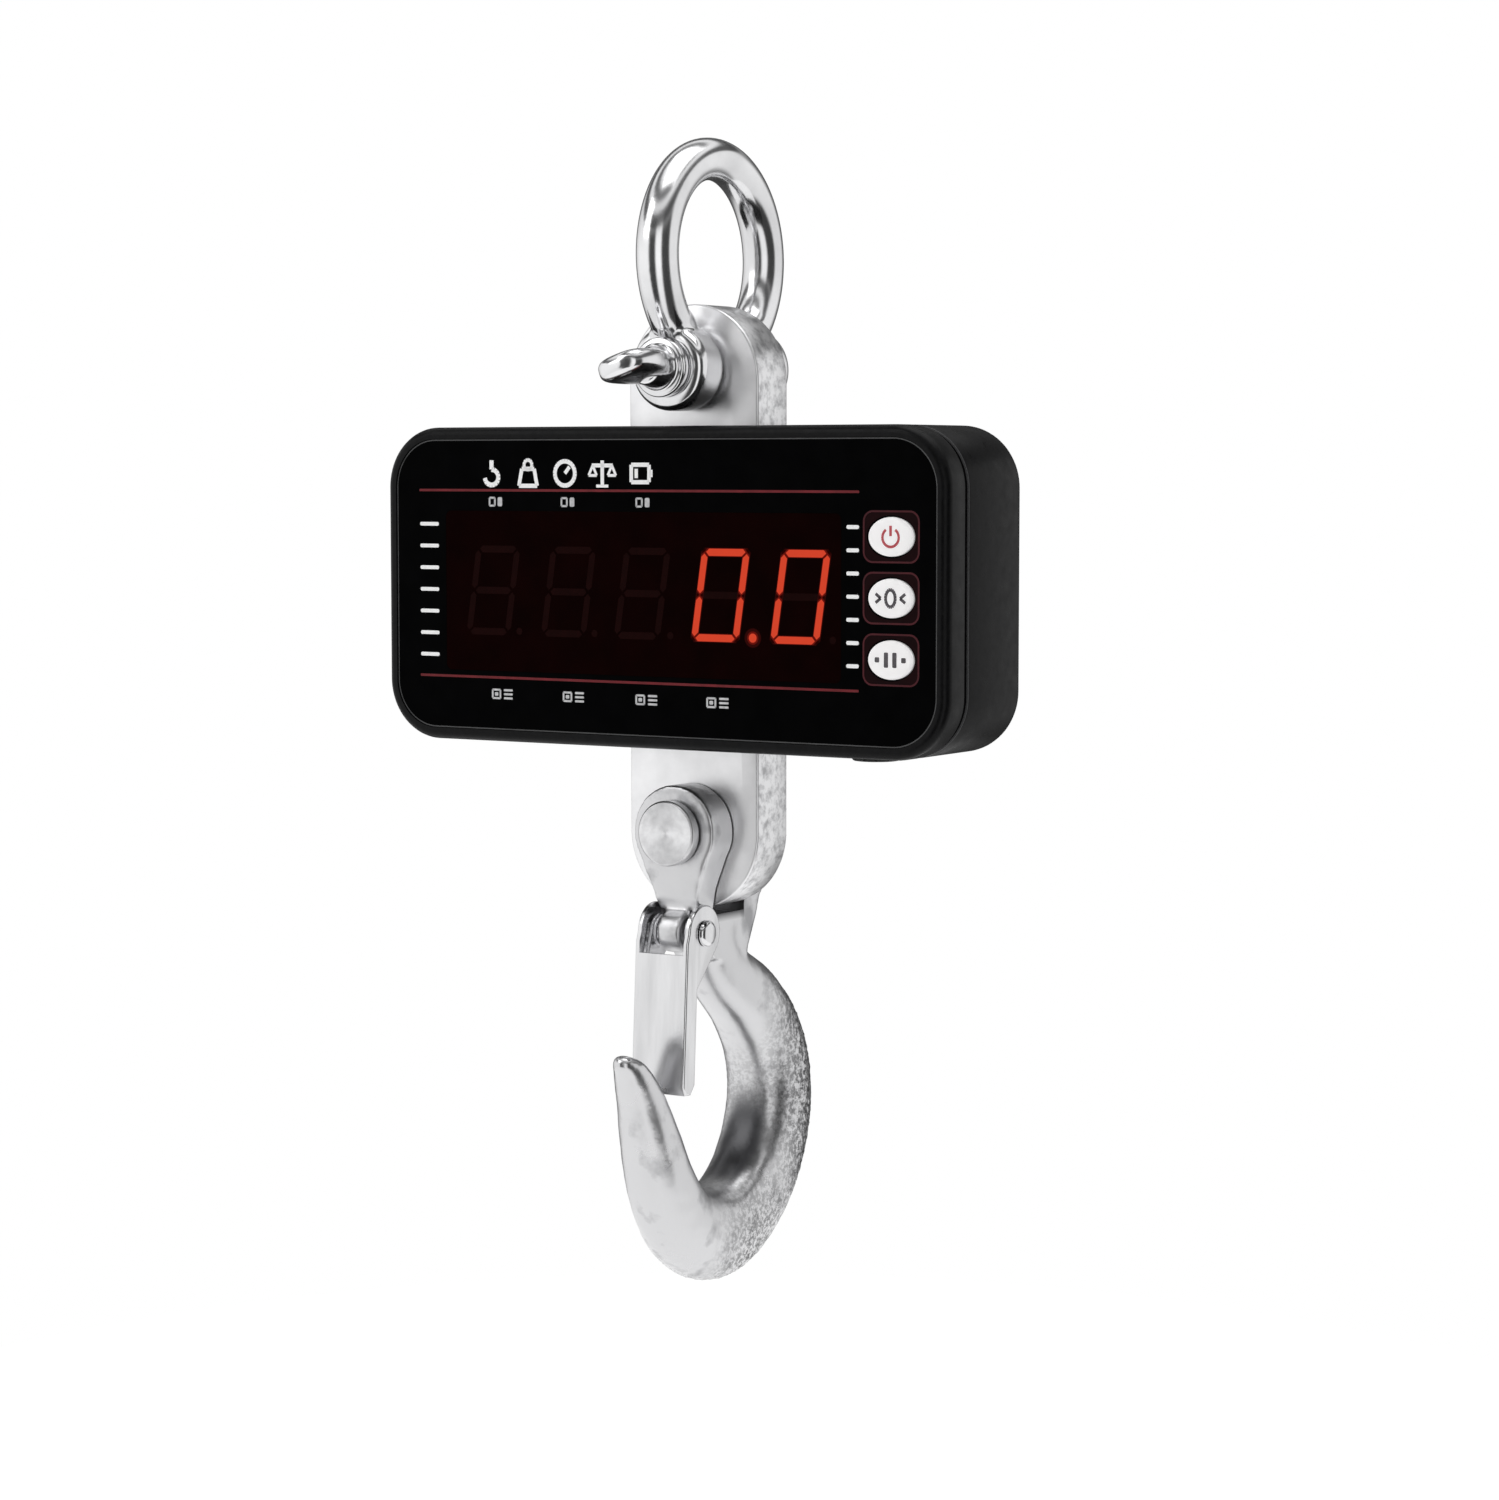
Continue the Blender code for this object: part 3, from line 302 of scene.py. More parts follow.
def tube(path, radius, sides):
    """A round tube along a path in space, with flat ends and no twist."""
    pts = [Vector(p) for p in path]
    rings = []
    normal = None
    for i, point in enumerate(pts):
        ahead = pts[min(i + 1, len(pts) - 1)] - pts[max(i - 1, 0)]
        tangent = ahead.normalized()
        if normal is None:
            normal = tangent.orthogonal().normalized()
        normal = (normal - tangent * normal.dot(tangent)).normalized()
        side = tangent.cross(normal)
        rings.append([
            tuple(point + radius * (math.cos(a) * normal + math.sin(a) * side))
            for a in (2 * math.pi * k / sides for k in range(sides))
        ])
    return loft(rings)


def fuse(obj, voxel, rounds):
    """Remeshes the object's pieces into one skin and smooths it."""
    remesh = obj.modifiers.new("fuse", "REMESH")
    remesh.mode = "VOXEL"
    remesh.voxel_size = voxel
    soften = obj.modifiers.new("soften", "SMOOTH")
    soften.factor = 0.5
    soften.iterations = rounds
    return bake_modifiers(obj)


def seal(obj):
    """Merges the slivers that a cut leaves and puts back a facet it dropped: the skin is closed."""
    with editing(obj.data) as bm:
        bmesh.ops.remove_doubles(bm, verts=bm.verts, dist=WELD)
        bmesh.ops.dissolve_degenerate(bm, edges=bm.edges, dist=WELD)
        loose = [e for e in bm.edges if not e.link_faces]
        bmesh.ops.delete(bm, geom=loose, context="EDGES")
        rim = [e for e in bm.edges if len(e.link_faces) == 1]
        bmesh.ops.holes_fill(bm, edges=rim, sides=0)
        bmesh.ops.recalc_face_normals(bm, faces=bm.faces)


def place(obj, name, body, look, slot, smooth=35.0, stands_in=True):
    """Names the piece, scales it to metres, gives it its look, and joins it to its body.

    It stands in for the CAD node that slot names, unless it only lies on that node.
    """
    seal(obj)
    obj.name = name
    obj.data.name = name
    obj.data.transform(Matrix.Scale(MM, 4))
    obj.data.materials.clear()
    obj.data.materials.append(LOOKS[look])
    obj.data.shade_smooth()
    obj.data.set_sharp_from_angle(angle=math.radians(smooth))
    if body:
        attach(obj, body)
    if stands_in:
        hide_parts(slot)
    return obj


# ---- materials

COAT_ROUGHNESS = 0.08
# Greys for the painted shade inside the hook's bowl and in the crotch between its ears.
BOWL_SHADE = (0.1, 0.1, 0.105, 1)
CROTCH_SHADE = (0.13, 0.13, 0.134, 1)


def set_input(tree, socket, value):
    """Gives a socket a plain value, or links the output socket that feeds it."""
    if isinstance(value, bpy.types.NodeSocket):
        tree.links.new(value, socket)
    else:
        socket.default_value = value


def add_node(tree, kind, inputs=None, **settings):
    node = tree.nodes.new("ShaderNode" + kind)
    for key, value in settings.items():
        setattr(node, key, value)
    for key, value in (inputs or {}).items():
        set_input(tree, node.inputs[key], value)
    return node


def coordinates(tree, kind="Object"):
    return add_node(tree, "TexCoord").outputs[kind]


def split(tree, vector):
    return add_node(tree, "SeparateXYZ", {"Vector": vector}).outputs


def remap(tree, value, start, end, low=0.0, high=1.0, **settings):
    """Runs from low to high while the value runs from start to end."""
    inputs = {"Value": value, "From Min": start, "From Max": end, "To Min": low, "To Max": high}
    return add_node(tree, "MapRange", inputs, **settings).outputs["Result"]


def calculate(tree, operation, *values):
    return add_node(tree, "Math", dict(enumerate(values)), operation=operation).outputs["Value"]


def mix_colours(tree, factor, first, second, mode="MIX"):
    inputs = {"Factor": factor, "A": first, "B": second}
    return add_node(tree, "Mix", inputs, data_type="RGBA", blend_type=mode).outputs["Result"]


def cloud(tree, where, scale, detail, roughness=0.5):
    """Noise with scale features per metre."""
    inputs = {"Vector": where, "Scale": scale, "Detail": detail, "Roughness": roughness}
    return add_node(tree, "TexNoise", inputs).outputs["Fac"]


def two_tone(tree, value, dark, light, stops):
    node = add_node(tree, "ValToRGB", {"Fac": value})
    for element, position, colour in zip(node.color_ramp.elements, stops, (dark, light)):
        element.position = position
        element.color = (*colour, 1)
    return node.outputs["Color"]


def plane_distance(tree, where, keep, centre):
    """Distance in metres from centre in the plane of the axes that keep marks with 1."""
    flat = add_node(tree, "VectorMath", {0: where, 1: keep}, operation="MULTIPLY").outputs["Vector"]
    return add_node(tree, "VectorMath", {0: flat, 1: centre}, operation="DISTANCE").outputs["Value"]


def set_shader(mat, values):
    inputs = mat.node_tree.nodes["Principled BSDF"].inputs
    for key, value in values.items():
        set_input(mat.node_tree, inputs[key], value)
    return mat


def source_of(mat, key):
    """The output socket that feeds an input of the material's shader, if any."""
    links = mat.node_tree.nodes["Principled BSDF"].inputs[key].links
    return links[0].from_socket if links else None


def add_bump(mat, height, strength, distance):
    """Lays a bump of some millimetres over the material's own."""
    inputs = {"Strength": strength, "Distance": distance * MM, "Height": height}
    under = source_of(mat, "Normal")
    if under:
        inputs["Normal"] = under
    set_shader(mat, {"Normal": add_node(mat.node_tree, "Bump", inputs).outputs["Normal"]})


def surface(name, dark, light, grain, rough, metallic=0.0, bump=(), stretch=(1, 1, 1),
            specular=0.5, coat=0.0, contrast=(0.3, 0.7)):
    """A noise-driven material. bump is a list of (features per metre, strength, millimetres)."""
    mat = bpy.data.materials.new(name)
    mat.use_nodes = True
    tree = mat.node_tree
    inputs = {"Vector": coordinates(tree), "Scale": stretch}
    where = add_node(tree, "Mapping", inputs).outputs["Vector"]
    set_shader(mat, {
        "Metallic": metallic, "Specular IOR Level": specular, "Coat Weight": coat,
        "Coat Roughness": COAT_ROUGHNESS,
        "Base Color": two_tone(tree, cloud(tree, where, grain, 6), dark, light, contrast),
        "Roughness": remap(tree, cloud(tree, where, grain * 0.37, 4), 0.3, 0.7, *rough),
    })
    for scale, strength, distance in bump:
        add_bump(mat, cloud(tree, where, scale, 5), strength, distance)
    return mat


def turned_rings(mat, centre, pitch, height):
    """Adds fine turned rings about an axis along Y through centre (x, z), in millimetres."""
    tree = mat.node_tree
    shift = (-centre[0] * MM, 0, -centre[1] * MM)
    where = add_node(tree, "Mapping", {"Vector": coordinates(tree), "Location": shift})
    wave = add_node(tree, "TexWave", {
        "Vector": where.outputs["Vector"], "Scale": 1 / (pitch * MM) / 20, "Distortion": 0.6,
        "Detail": 3,
    }, wave_type="RINGS", rings_direction="Y")
    add_bump(mat, wave.outputs["Fac"], 0.5, height)
    return mat


def brushed_round(mat, amount):
    """Stretches the highlights into wedges, as on a face turned in a lathe about its own Y axis."""
    tangent = add_node(mat.node_tree, "Tangent", direction_type="RADIAL", axis="Y")
    return set_shader(mat, {"Anisotropic": amount, "Tangent": tangent.outputs["Tangent"]})


def glow(mat, colour, strength):
    return set_shader(mat, {"Emission Color": (*colour, 1), "Emission Strength": strength})


def hook_look():
    """Bright cast metal: smooth front flank, coarse grey grain on the spine and below, and painted
    shade inside the bowl and in the crotch between the ears.
    """
    mat = surface(
        "cast_silver", (0.36, 0.36, 0.37), (0.66, 0.66, 0.67), 75, (0.24, 0.4), 1.0,
        bump=[(90, 0.12, 0.5), (700, 0.25, 0.2)], contrast=(0.3, 0.44),
    )
    tree = mat.node_tree
    where = coordinates(tree)
    parts = split(tree, where)
    spine = remap(tree, parts["Y"], 0.014, 0.036)
    low = remap(tree, parts["Z"], (LOW_PIN_Z - 100) * MM, (LOW_PIN_Z - 136) * MM)
    rear_side = remap(tree, parts["Y"], -0.016, 0.006)
    grainy = calculate(tree, "MAXIMUM", spine, calculate(tree, "MULTIPLY", low, rear_side))
    grain = cloud(tree, where, 620, 8, 0.75)
    specks = two_tone(tree, grain, (0.05, 0.05, 0.052), (0.68, 0.68, 0.69), (0.45, 0.56))
    colour = mix_colours(tree, grainy, source_of(mat, "Base Color"), specks)
    # Painted shade: the inside of the bowl, close to the bowl's centre, is darkened.
    bowl_centre = (0, (PLATE_Y + 1) * MM, (LOW_PIN_Z - 90) * MM)
    reach = plane_distance(tree, where, (0, 1, 1), bowl_centre)
    inner = remap(tree, reach, 0.0228, 0.0202, interpolation_type="SMOOTHSTEP")
    colour = mix_colours(tree, inner, colour, BOWL_SHADE)
    # Painted shade: the crotch of the slot between the ears, near the pin, is darkened.
    reach = plane_distance(tree, where, (1, 0, 1), (0, 0, LOW_PIN_Z * MM))
    near = remap(tree, reach, 0.0295, 0.0272)
    between_ears = calculate(tree, "COMPARE", parts["Y"], PLATE_Y * MM, 0.0091)
    crotch_shade = calculate(tree, "MULTIPLY", near, between_ears)
    return set_shader(mat, {"Base Color": mix_colours(tree, crotch_shade, colour, CROTCH_SHADE)})


def plate_look():
    """Bright plated steel: even on its two broad faces, coarse and darker on its narrow sides."""
    mat = surface(
        "bright_zinc", (0.82, 0.82, 0.83), (0.9, 0.9, 0.91), 160, (0.3, 0.38), 1.0,
        bump=[(900, 0.05, 0.1)],
    )
    tree = mat.node_tree
    facing = split(tree, coordinates(tree, "Normal"))["Y"]
    narrow = remap(tree, calculate(tree, "ABSOLUTE", facing), 0.5, 0.2)
    grain = cloud(tree, coordinates(tree), 260, 8, 0.65)
    narrow_side_tone = two_tone(tree, grain, (0.4, 0.4, 0.41), (0.82, 0.82, 0.83), (0.34, 0.56))
    colour = mix_colours(tree, narrow, source_of(mat, "Base Color"), narrow_side_tone)
    return set_shader(mat, {"Base Color": colour})


def lit_edge(mat, low, high, colour):
    """Paints a thin highlight line round the piece between two depths behind the front plane."""
    tree = mat.node_tree
    middle, half = (FRONT_Y + (low + high) / 2) * MM, (high - low) / 2 * MM
    line = calculate(tree, "COMPARE", split(tree, coordinates(tree))["Y"], middle, half)
    colour = mix_colours(tree, line, source_of(mat, "Base Color"), (*colour, 1))
    return set_shader(mat, {"Base Color": colour})


LOOKS = {
    "polished": surface(
        "polished_steel", (0.68, 0.68, 0.69), (0.84, 0.84, 0.85), 60, (0.13, 0.2), 1.0,
        bump=[(45, 0.015, 0.4), (2400, 0.04, 0.05)],
    ),
    "zinc": plate_look(),
    "sheet": surface(
        "bright_sheet", (0.66, 0.66, 0.67), (0.8, 0.8, 0.81), 220, (0.16, 0.3), 1.0,
        bump=[(500, 0.08, 0.1)], stretch=(1, 1, 0.15),
    ),
    "turned": brushed_round(turned_rings(surface(
        "turned_steel", (0.62, 0.62, 0.63), (0.82, 0.82, 0.83), 300, (0.28, 0.4), 1.0,
        bump=[(900, 0.04, 0.06)],
    ), (0, LOW_PIN_Z), 0.3, 0.03), 0.85),
    "hook": hook_look(),
    # Painted highlight: a grey line for the light that the overlay's edge catches.
    "rim": surface("painted_rim_highlight", (0.03, 0.03, 0.031), (0.06, 0.06, 0.062), 300, (0.2, 0.3),
                   bump=[(1200, 0.05, 0.04)]),
    "shell": surface(
        "shell_black", (0.003, 0.003, 0.0033), (0.006, 0.006, 0.0064), 700, (0.26, 0.4),
        bump=[(1600, 0.06, 0.08)], specular=0.1,
    ),
    "overlay": surface(
        "overlay_black", (0.0006, 0.0006, 0.0007), (0.0014, 0.0014, 0.0016), 120, (0.16, 0.24),
        bump=[(60, 0.02, 0.1)], specular=0.01,
    ),
    "window": surface(
        "window_red", (0.0035, 0.0006, 0.0005), (0.006, 0.0008, 0.0007), 90, (0.2, 0.3),
        bump=[(50, 0.02, 0.1)], specular=0.005,
    ),
    "ghost": surface("unlit_segment", (0.0085, 0.0014, 0.0012), (0.0115, 0.0017, 0.0015), 400,
                     (0.3, 0.4), specular=0.02),
    "red_line": surface("printed_red", (0.13, 0.010, 0.014), (0.19, 0.015, 0.022), 300, (0.35, 0.5),
                        specular=0.2),
    "dark_red": surface("printed_dark_red", (0.05, 0.004, 0.008), (0.075, 0.006, 0.011), 300,
                        (0.35, 0.5), specular=0.2),
    "red_shade": surface("printed_red_shade", (0.007, 0.0008, 0.0014), (0.011, 0.0012, 0.002), 200,
                         (0.35, 0.5), specular=0.05),
    # Painted light: the white print glows a little so it reads brighter.
    "white_ink": glow(surface("printed_white", (0.78, 0.78, 0.78), (0.9, 0.9, 0.9), 900,
                              (0.4, 0.55)), (1, 1, 1), 0.14),
    "grey_ink": surface("printed_grey", (0.5, 0.5, 0.51), (0.7, 0.7, 0.71), 900, (0.4, 0.55)),
    # Painted light: the key caps glow a little so they read brighter.
    "key": glow(surface("key_white", (0.82, 0.81, 0.81), (0.92, 0.91, 0.91), 500, (0.3, 0.42),
                        bump=[(1500, 0.05, 0.05)]), (1, 0.98, 0.98), 0.2),
    "key_red": surface("key_print_red", (0.5, 0.05, 0.07), (0.6, 0.09, 0.1), 600, (0.4, 0.5)),
    "key_grey": surface("key_print_grey", (0.05, 0.045, 0.05), (0.1, 0.09, 0.1), 600, (0.4, 0.5)),
    "led": glow(surface("led_orange", (0.12, 0.006, 0.002), (0.16, 0.008, 0.003), 500, (0.4, 0.5),
                        specular=0.02), (0.54, 0.05, 0.021), 1.0),
    # Painted glow round the lit segments: a narrow halo and a wider haze.
    "led_halo": glow(surface("painted_led_halo", (0.03, 0.002, 0.001), (0.04, 0.003, 0.002), 500,
                             (0.4, 0.5), specular=0.02), (0.1, 0.0035, 0.0018), 1.0),
    "led_haze": glow(surface("led_haze", (0.012, 0.001, 0.0008), (0.016, 0.0012, 0.001), 500,
                             (0.4, 0.5), specular=0.02), (0.016, 0.0008, 0.0005), 1.0),
    "rubber": surface("black_rubber", (0.012, 0.012, 0.012), (0.03, 0.03, 0.03), 800, (0.6, 0.85),
                      bump=[(1800, 0.15, 0.1)], specular=0.3),
    "board": surface("green_board", (0.008, 0.07, 0.025), (0.02, 0.13, 0.05), 300, (0.35, 0.5),
                     coat=0.3),
    "chip": surface("moulded_chip", (0.012, 0.012, 0.013), (0.03, 0.03, 0.032), 1200, (0.45, 0.65),
                    bump=[(3000, 0.1, 0.05)]),
    "ivory": surface("ivory_plastic", (0.6, 0.57, 0.48), (0.72, 0.7, 0.6), 500, (0.4, 0.55)),
    "wrap": surface("blue_wrap", (0.02, 0.08, 0.25), (0.05, 0.15, 0.4), 90, (0.25, 0.4),
                    bump=[(120, 0.2, 0.4)]),
    "potting": surface("potting", (0.6, 0.6, 0.56), (0.78, 0.77, 0.73), 400, (0.4, 0.6),
                       bump=[(300, 0.3, 0.2)]),
    "foil": surface("gauge_foil", (0.55, 0.26, 0.06), (0.75, 0.42, 0.12), 900, (0.25, 0.45), 0.6),
    "alloy": surface("milled_alloy", (0.5, 0.5, 0.52), (0.68, 0.68, 0.7), 300, (0.3, 0.45), 1.0,
                     stretch=(1, 1, 12)),
    "screw": surface("plated_screw", (0.5, 0.5, 0.52), (0.72, 0.72, 0.74), 900, (0.22, 0.38), 1.0,
                     bump=[(2000, 0.08, 0.05)]),
    "black_screw": surface("blackened_screw", (0.02, 0.02, 0.022), (0.05, 0.05, 0.052), 900,
                           (0.3, 0.45), 0.8),
    "red_sheath": surface("red_sheath", (0.25, 0.012, 0.012), (0.4, 0.02, 0.02), 500, (0.4, 0.55)),
    "ribbon": surface("grey_ribbon", (0.3, 0.3, 0.31), (0.5, 0.5, 0.52), 600, (0.4, 0.55),
                      stretch=(1, 1, 10)),
}

LOOKS["rear"] = LOOKS["shell"].copy()
LOOKS["rear"].name = "rear_shell_black"


# Painted highlight: a thin light line along the rear shell's front edge.
lit_edge(LOOKS["rear"], REAR_START + 0.1, REAR_START + 0.55, (0.07, 0.07, 0.072))

CAD_LOOKS = {
    "rubber": ("shell_seal", "top_seal", "bottom_seal", "gauge_lead"),
    "foil": ("strain_gauge_front", "strain_gauge_rear"),
    "potting": ("gauge_potting_front", "gauge_potting_rear"),
    "board": ("display_board", "main_board"),
    "chip": ("converter_chip", "controller_chip", "buzzer", "charging_jack", "key_switch_power",
             "key_switch_zero", "key_switch_hold"),
    "ivory": ("gauge_socket",),
    "wrap": ("battery_pack",),
    "sheet": ("battery_clamp",),
    "red_sheath": ("battery_lead",),
    "ribbon": ("display_ribbon",),
    "alloy": ("plate_spacer",),
    "zinc": ("clevis_washer",),
    "window": tuple(f"digit_module_{number}" for number in range(1, 6)),
    "screw": (*(f"board_screw_{number}" for number in range(1, 5)), "main_board_screw_1",
              "main_board_screw_2", "clamp_screw_1", "clamp_screw_2"),
}
for look, node_names in CAD_LOOKS.items():
    for node_name in node_names:
        node = frame["nodes"][node_name]
        node.data.materials.clear()
        node.data.materials.append(LOOKS[look])


# ---- shackle

BOW_WIRE_R = 6.5
BOW_RING_R = 30.0
BOW_ARC_END = 40.0
JAW = 24.0
EYE_T = 14.0
EYE_R = 13.0
SCREW_PIN_R = 7.0
COLLAR_R = 9.0
COLLAR_T = 3.6
WING_REACH = 24.0
WING_ROLL = math.radians(-18.0)


def bow_path():
    centre_z = BOW_WIRE_R - BOW_RING_R
    end = math.radians(BOW_ARC_END)
    eye_y = JAW / 2 + EYE_T / 2
    steps = 30
    arc = []
    for i in range(steps + 1):
        a = -end + (math.pi + 2 * end) * i / steps
        arc.append((BOW_RING_R * math.cos(a), centre_z + BOW_RING_R * math.sin(a)))
    leg = [(eye_y, PIN_Z + 3.0), (eye_y + 0.1, PIN_Z + 8.0), (eye_y + 0.9, PIN_Z + 12.0)]
    right = [(0.0, y, z) for y, z in leg]
    left = [(0.0, -y, z) for y, z in reversed(leg)]
    return smooth_through(right + [(0.0, y, z) for y, z in arc] + left, 4)


def shackle_bow():
    bow = tube(bow_path(), BOW_WIRE_R - 0.03, 64)
    for side in (-1, 1):
        low, high = sorted((side * JAW / 2, side * (JAW / 2 + EYE_T)))
        corners = [(0, low, 0), (EYE_R, low, 3.0), (EYE_R, high, 3.0), (0, high, 0)]
        eye = lathe(corners, 96, 8)
        join(bow, moved(eye, z=PIN_Z))
    fuse(bow, 0.5, 26)
    half = JAW / 2 + EYE_T + 1
    cut(bow, moved(cylinder(SCREW_PIN_R + 0.4, -half, half, sides=64), z=PIN_Z))
    place(bow, "bow_polished", "shackle", "polished", "shackle_bow", 50)


def shackle_pin():
    front = -(JAW / 2 + EYE_T) - 0.3
    back = JAW / 2 + EYE_T + 2.5
    neck, collar = front - COLLAR_T - 8, front - COLLAR_T
    pin = lathe([
        (0, neck, 0), (5.2, neck, 1.5), (6.8, collar, 1.2), (COLLAR_R, collar, 1.0),
        (COLLAR_R, front, 0.8), (SCREW_PIN_R, front, 0), (SCREW_PIN_R, back, 1.3), (0, back, 0),
    ], 72)
    start = collar + 1.0
    end = collar - WING_REACH + 0.5
    stations = [
        (start, 5.6, 4.9), (start - 4, 6.6, 4.6), (start - 8, 8.0, 4.2), (end + 10, 8.7, 4.0),
        (end + 5, 8.3, 3.8), (end + 2.2, 7.0, 3.3), (end + 0.8, 5.0, 2.4), (end, 2.2, 1.1),
    ]
    rings = []
    for y, half_w, half_t in smooth_through(stations, 5):
        rings.append([(half_w * c, y, half_t * t) for c, t in squircle(48, 3.0)])
    wing = loft(rings)
    cut(wing, prism_z(circle(2.9, 40, at=(0.0, end + 9.0)), -6, 6))
    wing.data.transform(Matrix.Rotation(WING_ROLL, 4, "Y"))
    join(pin, wing)
    moved(pin, z=PIN_Z)
    place(pin, "shackle_screw_pin", "shackle_pin", "polished", "shackle_pin", 40)


# ---- load plate

def stadium(width, straight, sides=14):
    radius = width / 2
    points = []
    for i in range(sides + 1):
        a = math.pi * i / sides
        points.append((radius * math.cos(a), radius * math.sin(a)))
    for i in range(sides + 1):
        a = math.pi + math.pi * i / sides
        points.append((radius * math.cos(a), -straight + radius * math.sin(a)))
    return points


def load_plate():
    front, back = PLATE_LOW.y, PLATE_HIGH.y
    width = PLATE_HIGH.x - PLATE_LOW.x
    straight = PLATE_HIGH.z - PLATE_LOW.z - width
    plate = moved(prism_y(stadium(width, straight, 64), front, back), z=PLATE_HIGH.z - width / 2)
    bevel(plate, 0.7, 3, 60)
    for z in (PIN_Z, LOW_PIN_Z):
        cut(plate, moved(cylinder(PIN_HOLE_R, front - 1, back + 1, sides=64), z=z))
    pocket = rounded_rect(30, 22, 3, 6, (0, HOUSING_Z))
    cut(plate, prism_y(pocket, front - 1, front + 2.6), prism_y(pocket, back - 2.6, back + 1))
    for z in PLATE_SCREW_Z:
        cut(plate, moved(cylinder(2.6, back - 9, back + 1, sides=24), z=z + HOUSING_Z))
    place(plate, "load_plate_body", "scale_body", "zinc", "load_cell_plate", 35)


# ---- housing

def housing(points):
    return [(x, z + HOUSING_Z) for x, z in points]


def depth(value):
    return FRONT_Y + value


def shell_outline(inset, steps=20):
    return housing(
        rounded_rect(SHELL_W - 2 * inset, SHELL_H - 2 * inset, CORNER_R - inset, steps)
    )


def shell_rings(steps):
    return [[(x, depth(deep), z) for x, z in shell_outline(inset)] for inset, deep in steps]


def arc_steps(inset, low, high, count=8):
    """(inset, depth) steps of a quarter round from the flat at low to the wall at high."""
    steps = []
    for i in range(count + 1):
        a = math.pi / 2 * i / count
        steps.append((inset * (1 - math.sin(a)), high + (low - high) * math.cos(a)))
    return steps


def front_shell():
    steps = arc_steps(2.6, 0.0, 2.8) + [(0.0, FRONT_DEPTH - 0.9), (0.12, FRONT_DEPTH - 0.4),
                                       (0.5, FRONT_DEPTH)]
    shell = loft(shell_rings(steps))
    cut(shell, prism_y(shell_outline(WALL, 12), depth(4.0), depth(FRONT_DEPTH + 1)))
    cut(shell, prism_y(shell_outline(OVERLAY_INSET - 0.3), depth(-1), depth(1.8)))
    cut(shell, prism_y(window_outline(-0.3), depth(0), depth(5)))
    for key in KEYS:
        cut(shell, prism_y(circle(4.3, 32, KEYS[key]), depth(0), depth(5)))
    place(shell, "front_shell_body", "scale_body", "shell", "front_shell", 30)


def rear_shell():
    back = SHELL_DEPTH
    rear_round = [(inset, back - deep) for inset, deep in reversed(arc_steps(6.5, 0.0, 6.0, 10))]
    steps = [(0.9, REAR_START), (0.25, REAR_START + 0.3), (0.0, REAR_START + 1.0)] + rear_round
    shell = loft(shell_rings(steps))
    cut(shell, prism_y(shell_outline(WALL, 12), depth(REAR_START - 1), depth(back - WALL)))
    for x, z in SCREW_AT:
        at = (x, z + HOUSING_Z)
        column = prism_y(circle(5.0, 28, at), depth(REAR_START + 0.2), depth(back - 1.5))
        join(shell, column)
        cut(shell, prism_y(circle(2.1, 20, at), depth(11), depth(back + 1)))
        cut(shell, prism_y(circle(3.7, 36, at), depth(back - 3.4), depth(back + 1)))
    slot = rounded_rect(50, 22, 2.5, 8, (0, PLATE_Y))
    cut(shell, prism_z(slot, HOUSING_Z - SHELL_H / 2 - 1, HOUSING_Z + SHELL_H / 2 + 1))
    for z in PLATE_SCREW_Z:
        at = (0, z + HOUSING_Z)
        cut(shell, prism_y(circle(2.9, 24, at), depth(40), depth(back + 1)))
        cut(shell, prism_y(circle(5.1, 40, at), depth(back - 1.7), depth(back + 1)))
    low = HOUSING_Z - SHELL_H / 2
    cut(shell, moved(cylinder(6.0, low - 1, low + 4, "Z", 40), x=JACK[0], y=JACK[1]))
    place(shell, "rear_shell_body", "scale_body", "rear", "rear_shell", 30)


SCREW_AT = ((-87.5, 35.5), (87.5, 35.5), (-87.5, -35.5), (87.5, -35.5))
KEY_NAMES = ("power", "zero", "hold")
KEYS = {}
for key_name in KEY_NAMES:
    key_low, key_high = node_box(f"key_{key_name}")
    KEYS[key_name] = ((key_low.x + key_high.x) / 2, (key_low.z + key_high.z) / 2)
WINDOW_LOW, WINDOW_HIGH = node_box("display_window")
PLUG_LOW, PLUG_HIGH = node_box("charging_plug")
JACK = ((PLUG_LOW.x + PLUG_HIGH.x) / 2, (PLUG_LOW.y + PLUG_HIGH.y) / 2)
PANEL_Y = WINDOW_LOW.y


def window_outline(inset):
    width = WINDOW_HIGH.x - WINDOW_LOW.x - 2 * inset
    height = WINDOW_HIGH.z - WINDOW_LOW.z - 2 * inset
    middle = ((WINDOW_LOW.x + WINDOW_HIGH.x) / 2, (WINDOW_LOW.z + WINDOW_HIGH.z) / 2)
    return rounded_rect(width, height, 2.0, 8, middle)


def front_overlay():
    steps = ((OVERLAY_INSET + 0.15, 0.0), (OVERLAY_INSET, 0.15), (OVERLAY_INSET, 1.0))
    sheet = loft([[(x, PANEL_Y + deep, z) for x, z in shell_outline(inset)]
                  for inset, deep in steps])
    cut(sheet, prism_y(window_outline(-0.05), PANEL_Y - 1, PANEL_Y + 3))
    for at in KEYS.values():
        cut(sheet, prism_y(oval(KEY_HOLE, 64, at), PANEL_Y - 1, PANEL_Y + 3))
    place(sheet, "overlay_sheet", "scale_body", "overlay", "front_overlay", 30)
    # Painted highlight: a thin grey band along the overlay's edge.
    band([(shell_outline(3.8), shell_outline(4.15))], "overlay_rim_highlight", "rim", rise=0.04)
    pane = prism_y(window_outline(0), PANEL_Y + 0.03, PANEL_Y + 1.7)
    place(pane, "window_pane", "scale_body", "window", "display_window", 30)


# ---- panel graphics

INK = 0.05                      # how far print stands out of the panel


